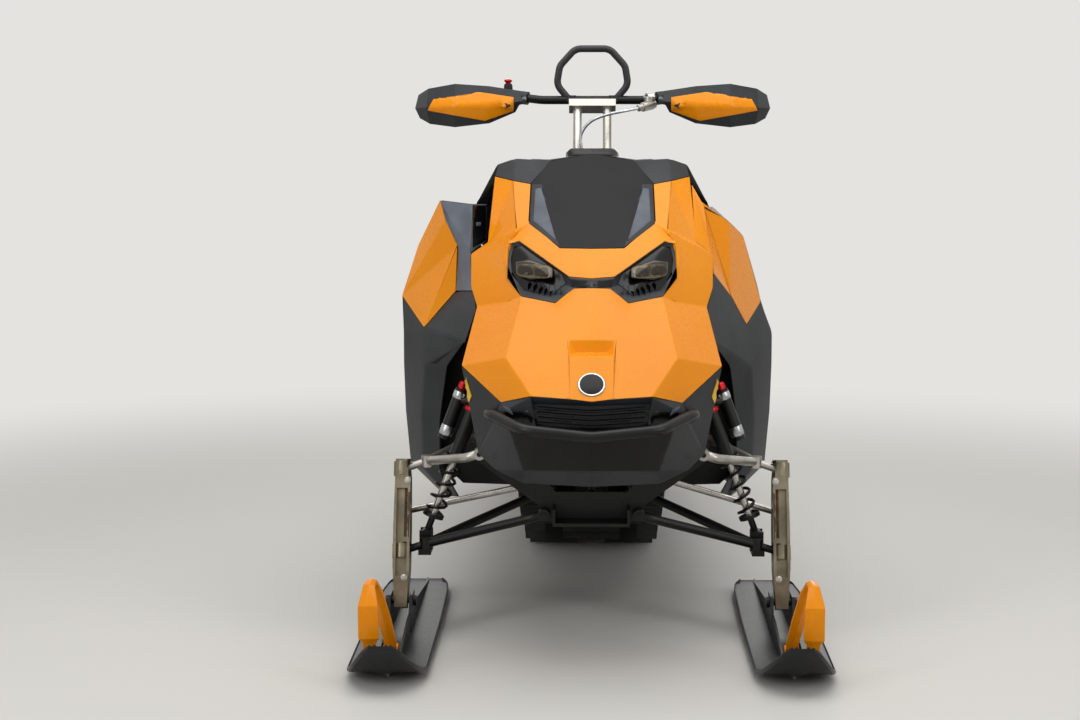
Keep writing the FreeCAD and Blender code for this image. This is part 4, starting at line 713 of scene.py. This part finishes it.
# Metallised reflectors, warm behind the smoked lens, round two chambers whose deep shade is painted as dark
# plates
reflector = finish("warm_reflector", ("4A4234", "6B604C"), 14, 3.0, (0.2, 0.35), 0.1, Metallic=1.0)
chamber_painted_shade = finish("chamber_painted_shade", ("1E1710", "302619"), 14, 3.0, (0.1, 0.2), 0.1, IOR=1.4)
FINS = (
    # x, foot and top of each cooling fin
    (72, 829.8, 860), (85, 828.6, 860), (98, 828.6, 860), (111, 829.8, 860), (124, 831, 860),
    (137, 838, 864), (150, 846, 864),
)
FIN_HALF = 0.9                         # half the thickness of a fin
LAMP_X, LAMP_Z = 135, 887              # middle of the reflector frame
LAMP_SLOPE = 0.06                      # rise of the chambers outwards
for side, name in SIDES:
    floor_plate = [(side * x, z) for x, z in cavity]
    inlay("lamp_cavity_" + name, "lamp_bezel", floor_plate, 0.3, 1.0, gloss_black)
    form = bmesh.new()
    for x, low, high in FINS:
        foot, _ = ahead(bezel_faces, side * x, (low + high) / 2)
        foot_y = foot.y * 1000
        section = ((low, 2), (high, 2), (high, 10), (low, 13))
        loft(form, [
            vertices(form, [(side * (x + across), foot_y - out, z) for z, out in section])
            for across in (-FIN_HALF, FIN_HALF)
        ])
    make("lamp_fins_" + name, form, grey_plastic)
    # The reflector frame, then two dark plates with the painted shade of the chambers
    for part, middle, wide, tall, material, lift in (
        ("frame", LAMP_X, 82, 30, reflector, 0.2),
        ("inner", 117, 33, 19, chamber_painted_shade, 1.3),
        ("outer", 155, 36, 19, chamber_painted_shade, 1.3),
    ):
        outline = []
        for k in range(16):
            angle = 2 * math.pi * (k + 0.5) / 16
            u = abs(math.cos(angle)) ** 0.5 * math.copysign(wide / 2, math.cos(angle))
            v = abs(math.sin(angle)) ** 0.5 * math.copysign(tall / 2, math.sin(angle))
            outline.append((side * (middle + u), LAMP_Z + LAMP_SLOPE * (middle - LAMP_X) + v))
        inlay(f"lamp_{part}_{name}", "lamp_lenses", outline, lift, 0.8, material,
              spacing=9.0)

# Nose cowl
# Grey moulded nose under the hood with a glossy black face, slats in its upper
# opening and yellow reflectors at its corners.
CORNERS.update({
    "cowl_side": (288, -1235, 625), "cowl_low_side": (262, -1200, 470), "face_top": (198, -1385, 594),
    "cowl_corner": (221, -1250, 440), "face_low": (152, -1408, 465), "cowl_front": (154, -1320, 421),
    "cowl_low_mid": (0, -1385, 425), "face_low_mid": (0, -1447, 469), "grille_top": (128, -1420, 618),
    "grille_top_mid": (0, -1450, 618), "grille_low": (122, -1431, 560),
    "grille_low_mid": (0, -1454, 560),
})
COWL = """
    wide cowl_side lip_corner, lip_corner cowl_side cowl_low_side face_top,
    face_top cowl_low_side cowl_corner face_low, face_low cowl_corner cowl_front,
    face_low cowl_front cowl_low_mid face_low_mid, lip_side lip_corner face_top,
    lip_mid lip grille_top grille_top_mid, lip lip_side grille_top,
    lip_side face_top grille_low grille_top, grille_top_mid grille_top grille_low grille_low_mid,
    face_top face_low grille_low, grille_low_mid grille_low face_low face_low_mid
"""
moulded("cowl_shell", COWL, grey_plastic, ["nose_cowl"], fold=4.0)
face = [(-194, 594), (-128, 606), (0, 604), (128, 606), (194, 594), (151, 468), (0, 472), (-151, 468)]
inlay("cowl_face", "cowl_shell", face, 0.3, 1.2, gloss_black, spacing=18.0)
# Moulded yellow reflex lens with prisms near 4 mm
yellow_lens = finish("yellow_reflector", ("D9A400", "F2C200"), 30, 4.0, (0.1, 0.25), 0.5, cells=True,
                     IOR=1.49)
cowl_faces = surface("cowl_shell")
for side, name in SIDES:
    outline = [(side * x, z) for x, z in ((293, 650), (287, 652), (273, 612), (280, 594), (288, 620))]
    inlay("reflector_" + name, "cowl_shell", outline, 0.2, 2.0, yellow_lens, spacing=9.0)
    # A light grey wedge each side is a painted highlight, where the bumper brackets catch the light
    highlight_wedge = [(side * x, z) for x, z in ((196, 606), (178, 603), (172, 590), (184, 596))]
    inlay("cowl_painted_highlight_" + name, "cowl_shell", highlight_wedge, 1.6, 2.0, light_grey_plastic,
          spacing=9.0)
SLATS = (611, 600, 589, 578, 567)
SLAT_BOW = ((-118, 0), (-60, 3), (0, 5), (60, 3), (118, 0))       # x, and how far it hangs there
SLAT_SECTION = ((4, -1.6), (-12, -2.2), (-12, 0.4), (4, 2.6))     # y from the cowl, and z
form = bmesh.new()
for z in SLATS:
    rings = []
    for x, drop in SLAT_BOW:
        seat, _ = ahead(cowl_faces, x, z - drop)
        seat_y = seat.y * 1000
        rings.append(vertices(form, [(x, seat_y + out, z - drop + rise) for out, rise in SLAT_SECTION]))
    loft(form, rings)
make("cowl_slats", form, black_plastic)

# Side panels, covers and duct
# Orange covers clip to the shoulders over grey side panels; the right cover
# leaves an air duct beside the hood, with the shade in its slot painted as a black plate.
CORNERS.update({
    "cover_top": (377, -780, 1037), "cover_in": (361, -820, 990), "cover_back": (436, -720, 922),
    "cover_bend": (328, -860, 929), "cover_out": (478, -720, 794), "cover_foot": (332, -880, 820),
    "cover_tip": (412, -860, 727), "wing_top": (274, -840, 1025), "wing_notch": (292, -940, 871),
    "wing_mid": (336, -800, 987), "wing_fold": (339, -880, 810), "wing_out": (377, -740, 947),
    "wing_rear": (426, -700, 778), "wing_tip": (382, -820, 733),
})
RIGHT_COVER = """
    cover_top cover_in cover_back, cover_in cover_bend cover_out cover_back,
    cover_bend cover_foot cover_tip cover_out
"""
LEFT_COVER = """
    arm_out wing_top wing_notch notch_top arm_low, wing_top wing_mid wing_fold wing_notch,
    wing_mid wing_out wing_fold, wing_out wing_rear wing_tip wing_fold
"""
moulded("cover_right", RIGHT_COVER, orange_gloss, sides=(-1,), fold=4.0)
moulded("cover_left", LEFT_COVER, orange_gloss, sides=(1,), fold=4.0)
# The duct is the same polypropylene in a lighter, bluer grey
duct_plastic = finish("duct_plastic", ("5A606B", "747B88"), 90, 1.4, (0.36, 0.52), 0.2, cells=True, IOR=1.42)
CORNERS.update({
    "duct_top": (315, -845, 1033), "duct_mid": (293, -925, 923), "duct_crest": (292, -875, 1032),
    "duct_low": (286, -975, 828), "slot_top": (258, -825, 1030), "slot_low": (258, -865, 939),
    "dash_side": (319, -600, 979), "flank_high_back": (392, -560, 925),
    "flank_high_end": (318, -400, 880), "dash_rear": (301, -440, 914), "dash_end": (259, -360, 861),
    "flank_top_back": (450, -540, 800), "flank_top_end": (345, -400, 780),
    "flank_a_back": (450, -530, 700), "flank_a_end": (350, -400, 690), "flank_a_out": (478, -690, 702),
    "flank_b_out": (478, -690, 620), "flank_b_back": (450, -530, 620), "flank_b_end": (352, -400, 610),
    "flank_b_front": (352, -915, 640), "flank_c_front": (374, -866, 500),
    "flank_c_mid": (424, -810, 500), "flank_b_mid": (412, -850, 630), "flank_c_out": (474, -690, 500),
    "flank_c_back": (450, -530, 500), "flank_c_end": (352, -400, 500),
    "flank_d_front": (376, -850, 376), "flank_d_mid": (420, -800, 366), "flank_d_out": (462, -690, 364),
    "flank_d_back": (436, -530, 364), "flank_d_end": (352, -442, 364),
    "flank_e_front": (330, -850, 304), "flank_e_mid": (360, -790, 294), "flank_e_out": (386, -690, 290),
    "flank_e_back": (370, -540, 292), "flank_e_end": (330, -456, 300), "dash_front": (301, -730, 1019),
    "flank_bay": (300, -1045, 712),
})
DUCT = """
    cover_top duct_top duct_mid cover_bend cover_in, duct_top duct_crest duct_mid,
    duct_mid duct_low cover_foot cover_bend, duct_crest slot_top slot_low duct_mid
"""
moulded("duct_shell", DUCT, duct_plastic, sides=(-1,), fold=4.0)
# Faces that both side panels have, then those of the right and of the left one
FLANK = """
    dash_side flank_high_back flank_high_end dash_rear, dash_rear flank_high_end dash_end,
    flank_high_back flank_top_back flank_top_end flank_high_end,
    flank_top_back flank_a_back flank_a_end flank_top_end,
    flank_a_out flank_b_out flank_b_back flank_a_back,
    flank_a_back flank_b_back flank_b_end flank_a_end,
    flank_b_front flank_c_front flank_c_mid flank_b_mid,
    flank_b_mid flank_c_mid flank_c_out flank_b_out, flank_b_out flank_c_out flank_c_back flank_b_back,
    flank_b_back flank_c_back flank_c_end flank_b_end,
    flank_c_front flank_d_front flank_d_mid flank_c_mid,
    flank_c_mid flank_d_mid flank_d_out flank_c_out, flank_c_out flank_d_out flank_d_back flank_c_back,
    flank_c_back flank_d_back flank_d_end flank_c_end,
    flank_d_front flank_e_front flank_e_mid flank_d_mid,
    flank_d_mid flank_e_mid flank_e_out flank_d_out, flank_d_out flank_e_out flank_e_back flank_d_back,
    flank_d_back flank_e_back flank_e_end flank_d_end
"""
RIGHT_FLANK = """
    dash_front slot_top duct_crest duct_top, dash_front duct_top cover_top,
    dash_front cover_top cover_back dash_side, dash_side cover_back flank_high_back,
    cover_back cover_out flank_top_back flank_high_back,
    cover_out flank_a_out flank_a_back flank_top_back, cover_out cover_tip flank_b_mid flank_a_out,
    flank_a_out flank_b_mid flank_b_out, waist duct_low cover_foot,
    waist cover_foot cover_tip flank_bay, flank_bay cover_tip flank_b_mid flank_b_front
"""
LEFT_FLANK = """
    dash_front wing_top wing_mid, dash_front wing_mid wing_out dash_side,
    dash_side wing_out flank_high_back, wing_out wing_rear flank_top_back flank_high_back,
    wing_rear flank_a_out flank_a_back flank_top_back, wing_rear wing_tip flank_b_mid flank_a_out,
    flank_a_out flank_b_mid flank_b_out, waist notch_low wing_notch wing_fold,
    waist wing_fold wing_tip flank_bay, flank_bay wing_tip flank_b_mid flank_b_front
"""
for name, faces, side in (("flank_right", RIGHT_FLANK, -1), ("flank_left", LEFT_FLANK, 1)):
    moulded(name, FLANK + "," + faces, grey_plastic, ["side_panels"], (side,), fold=9.0)
# A gloss black plate on the duct's inner face paints the shade in its slot
slot = [(-291, 1029), (-260, 1026), (-260, 943), (-289, 928)]
inlay("duct_slot_painted_shade", "duct_shell", slot, 0.3, 0.8, gloss_black, spacing=12.0)
clip = [(-283, 987), (-273, 987), (-273, 978), (-283, 978)]
inlay("duct_clip", "duct_shell", clip, 1.2, 2.0, light_grey_plastic, spacing=9.0)

# Inner guards, black moulded screens that close the bay beside the engine
GUARD_SCREEN = ((192, 330), (336, 330), (392, 380), (392, 640), (378, 756), (322, 846), (192, 896))
GUARD_WIDTH = 0.955                    # share by which both are drawn in, clear of the flanks
GUARD_IN = 192
GUARD_Y = -818
GUARD_WALL = 3
GUARD_LEAN = 0.15                      # how far they stand back, as a share of the way out
for side, name in SIDES:
    form = bmesh.new()
    loft(form, [
        vertices(form, [
            (side * GUARD_WIDTH * x, y + GUARD_LEAN * (x - GUARD_IN), z) for x, z in GUARD_SCREEN
        ])
        for y in (GUARD_Y, GUARD_Y + GUARD_WALL)
    ])
    bmesh.ops.triangulate(form, faces=form.faces)
    make("inner_guard_" + name, form, black_plastic)

# Console and gauge
# Grey moulded console from the windshield back to the tank, open round the
# steering column, with a small black instrument pod ahead of the bars.
CONSOLE = (
    # x, y, z from the middle out; rows from the windshield back to the seat
    ((0, -784, 1151), (34, -785, 1148), (106, -789, 1134),
     (149, -859, 1080), (191, -844, 1087), (239, -799, 1097)),
    ((0, -772, 1148), (34, -772, 1146), (108, -772, 1138),
     (150, -790, 1140), (192, -782, 1142), (233, -764, 1128)),
    ((0, -712, 1122), (34, -712, 1122), (100, -712, 1122),
     (180, -716, 1126), (229, -720, 1084), (298, -726, 1010)),
    ((0, -628, 1094), (34, -628, 1094), (100, -628, 1094),
     (193, -628, 1088), (258, -628, 1042), (315, -622, 985)),
    ((0, -450, 1002), (34, -450, 1002), (92, -450, 1000),
     (180, -450, 990), (246, -450, 956), (300, -440, 915)),
    ((0, -336, 944), (30, -336, 943), (84, -336, 940),
     (150, -336, 926), (205, -345, 896), (258, -360, 862)),
)
OPENING = (2, 0)                       # row and place in it of the faces left out round the column
dash_faces = []
for i, row in enumerate(CONSOLE):
    for k, spot in enumerate(row):
        CORNERS[f"dash_{i}_{k}"] = spot
        if i and k and (i - 1, k - 1) != OPENING:
            dash_faces.append(f"dash_{i - 1}_{k - 1} dash_{i - 1}_{k} dash_{i}_{k} dash_{i}_{k - 1}")
moulded("console_shell", ",".join(dash_faces), grey_plastic, ["dash_console"], fold=6.0)
GAUGE = (
    # y, half width, foot and top
    (-742, 58, 1108, 1150), (-700, 66, 1108, 1164), (-664, 60, 1092, 1152),
)
CHAMFER = 12
form = bmesh.new()
rings = []
for y, half, low, high in GAUGE:
    right = [(half - CHAMFER, high), (half, high - CHAMFER), (half, low)]
    left = [(-x, z) for x, z in reversed(right)]
    rings.append(vertices(form, [(x, y, z) for x, z in left + right]))
loft(form, rings)
rounded(make("gauge_pod", form, gloss_black), 3)

# Seat and tank
# A slim moulded foam seat under a stretched vinyl cover with a grained top and
# a stitched seam along each side.

# Stretched vinyl: black with a leather grain near 2 mm
seat_vinyl = finish("seat_vinyl", ("141416", "1F1F22"), 90, 2.2, (0.42, 0.66), 0.4, cells=True, IOR=1.5)
SEAT = (
    # y, half width at the foot and at the top, height of the foot and of the crown
    (-322, 146, 84, 628, 908), (-300, 154, 92, 628, 930), (-200, 160, 102, 621, 922),
    (-100, 166, 112, 616, 907), (30, 171, 124, 610, 899), (160, 174, 132, 604, 895),
    (280, 174, 137, 599, 893), (370, 172, 138, 594, 890), (408, 166, 132, 592, 878),
    (420, 158, 122, 592, 858),
)
SEAM = 0.62                            # height of the side seam, as a share of the seat's
SHOULDER = 14                          # how far the sides swell beyond the top's width
SEAT_SIDE = (
    # share of the way from the foot's width to the shoulder's, then further out in mm, and height
    (0, -2, 0), (0, 0, 0.03), (0.3, -5, 0.3), (0.5, -5, 0.5), (SEAM, -4, SEAM - 0.02),
    (SEAM, -6.5, SEAM), (SEAM, -3, SEAM + 0.02), (0.76, 0, 0.74), (0.86, -2, 0.84),
)
SEAT_TOP = (
    # share of the top's width, then further out in mm, and height
    (1, 4, 0.91), (1, -8, 0.955), (0.8, 0, 0.98), (0.5, 0, 0.994), (0.2, 0, 1.0),
)
form = bmesh.new()
rings = []
for y, foot, top, low, high in SEAT:
    right = [(foot + (top + SHOULDER - foot) * share + out, rise) for share, out, rise in SEAT_SIDE]
    right += [(top * share + out, rise) for share, out, rise in SEAT_TOP]
    outline = right + [(-x, rise) for x, rise in reversed(right)]
    rings.append(vertices(form, [(x, y, low + rise * (high - low)) for x, rise in outline]))
loft(form, rings, caps=False)
for ring in (rings[0], rings[-1]):
    for k in range(len(ring) // 2 - 1):
        form.faces.new((ring[k], ring[k + 1], ring[-2 - k], ring[-1 - k]))
cushion = make("seat_cushion", form, seat_vinyl, smooth=80.0)
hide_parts("seat")
cushion.modifiers.new("filled", "SUBSURF").levels = 2
cushion.modifiers["filled"].render_levels = 2
finish_nodes(black_plastic, "fuel_tank")
soften("fuel_tank", 12.0, 12.0, 4)

# Bars and controls
# Black tapered bar on two silver risers, with rubber grips, switch blocks and
# levers, hand guards with orange inserts and a rubber mountain strap.
finish_nodes(silver_paint, "steering_column")
finish_nodes(black_powder, "handlebar")
# Moulded rubber: soft and matt on the grips, smoother and greyer on the strap
grip_rubber = finish("grip_rubber", ("101010", "191919"), 40, 2.5, (0.6, 0.85), 0.6, cells=True)
strap_rubber = finish("strap_rubber", ("1B1C1F", "28292D"), 60, 2.0, (0.4, 0.6), 0.3)
finish_nodes(grip_rubber, "grips")
finish_nodes(black_plastic, "hand_controls")
finish_nodes(grey_plastic, "hand_guards")
finish_nodes(strap_rubber, "grab_strap")
soften("hand_guards", 4.0, 9.0)
GUARD_INSERT = (
    (200, 1289), (225, 1293), (286, 1302), (342, 1290), (404, 1285), (420, 1257), (273, 1231), (202, 1256),
)
for side, name in SIDES:
    outline = [(side * x, z) for x, z in GUARD_INSERT]
    inlay("guard_insert_" + name, "hand_guards", outline, 0.3, 2.0, orange_gloss, "steering")

# Ribs moulded round each grip
GRIP = ((0.250, -0.477, 1.297), (0.418, -0.431, 1.261))
GRIP_RADIUS, RIB_RADIUS = 17.2, 18.4
RIBS, RIB_PITCH = 18, 6
RIBBED_LENGTH = 116                    # from the first rib to the bar's end
form = bmesh.new()
for side in (1, -1):
    inner, outer = (Vector((side * x, y, z)) for x, y, z in GRIP)
    start = (outer - inner).length * 1000 - RIBBED_LENGTH
    profile = []
    for k in range(RIBS):
        rib = start + RIB_PITCH * k
        profile += [(rib, GRIP_RADIUS), (rib + 1, RIB_RADIUS)]
        profile += [(rib + 3.6, RIB_RADIUS), (rib + 4.6, GRIP_RADIUS)]
    turned(form, profile, inner, outer - inner)
make("grip_ribs", form, grip_rubber, "steering", 60.0)

# Brake master cylinder, a cast body clamped on the bar, and the red stop button
form = bmesh.new()
turned(form, ((0, 16.5), (1, 17.5), (17, 17.5), (18, 16.5)), (0.140, -0.5121, 1.2841), (1, 0.317, 0.117))
turned(form, ((0, 7), (2, 9), (14, 9), (15, 12), (48, 12), (52, 10), (56, 10)), HOSE[0], (0.75, 0.6, 0.18))
turned(form, ((0, 14), (20, 14), (21, 15.5), (25, 15.5), (26, 14)), (0.146, -0.556, 1.266), (0, 0, 1))
make("master_cylinder", form, silver_paint, "steering")
form = bmesh.new()
turned(form, ((0, 15.5), (1, 17), (21, 17), (22, 15.5)), (-0.207, -0.490, 1.293), (-1, 0.317, 0.117))
turned(form, ((0, 12), (16, 11), (20, 9)), (-0.218, -0.488, 1.305), (0, -0.1, 1))
make("switch_clamp", form, black_plastic, "steering")
form = bmesh.new()
turned(form, ((0, 7), (7, 7), (8, 10), (12, 10.5), (14, 8.5), (15, 5)), (-0.218, -0.490, 1.322), (0, -0.1, 1))
make("stop_button", form, red_anodised, "steering")
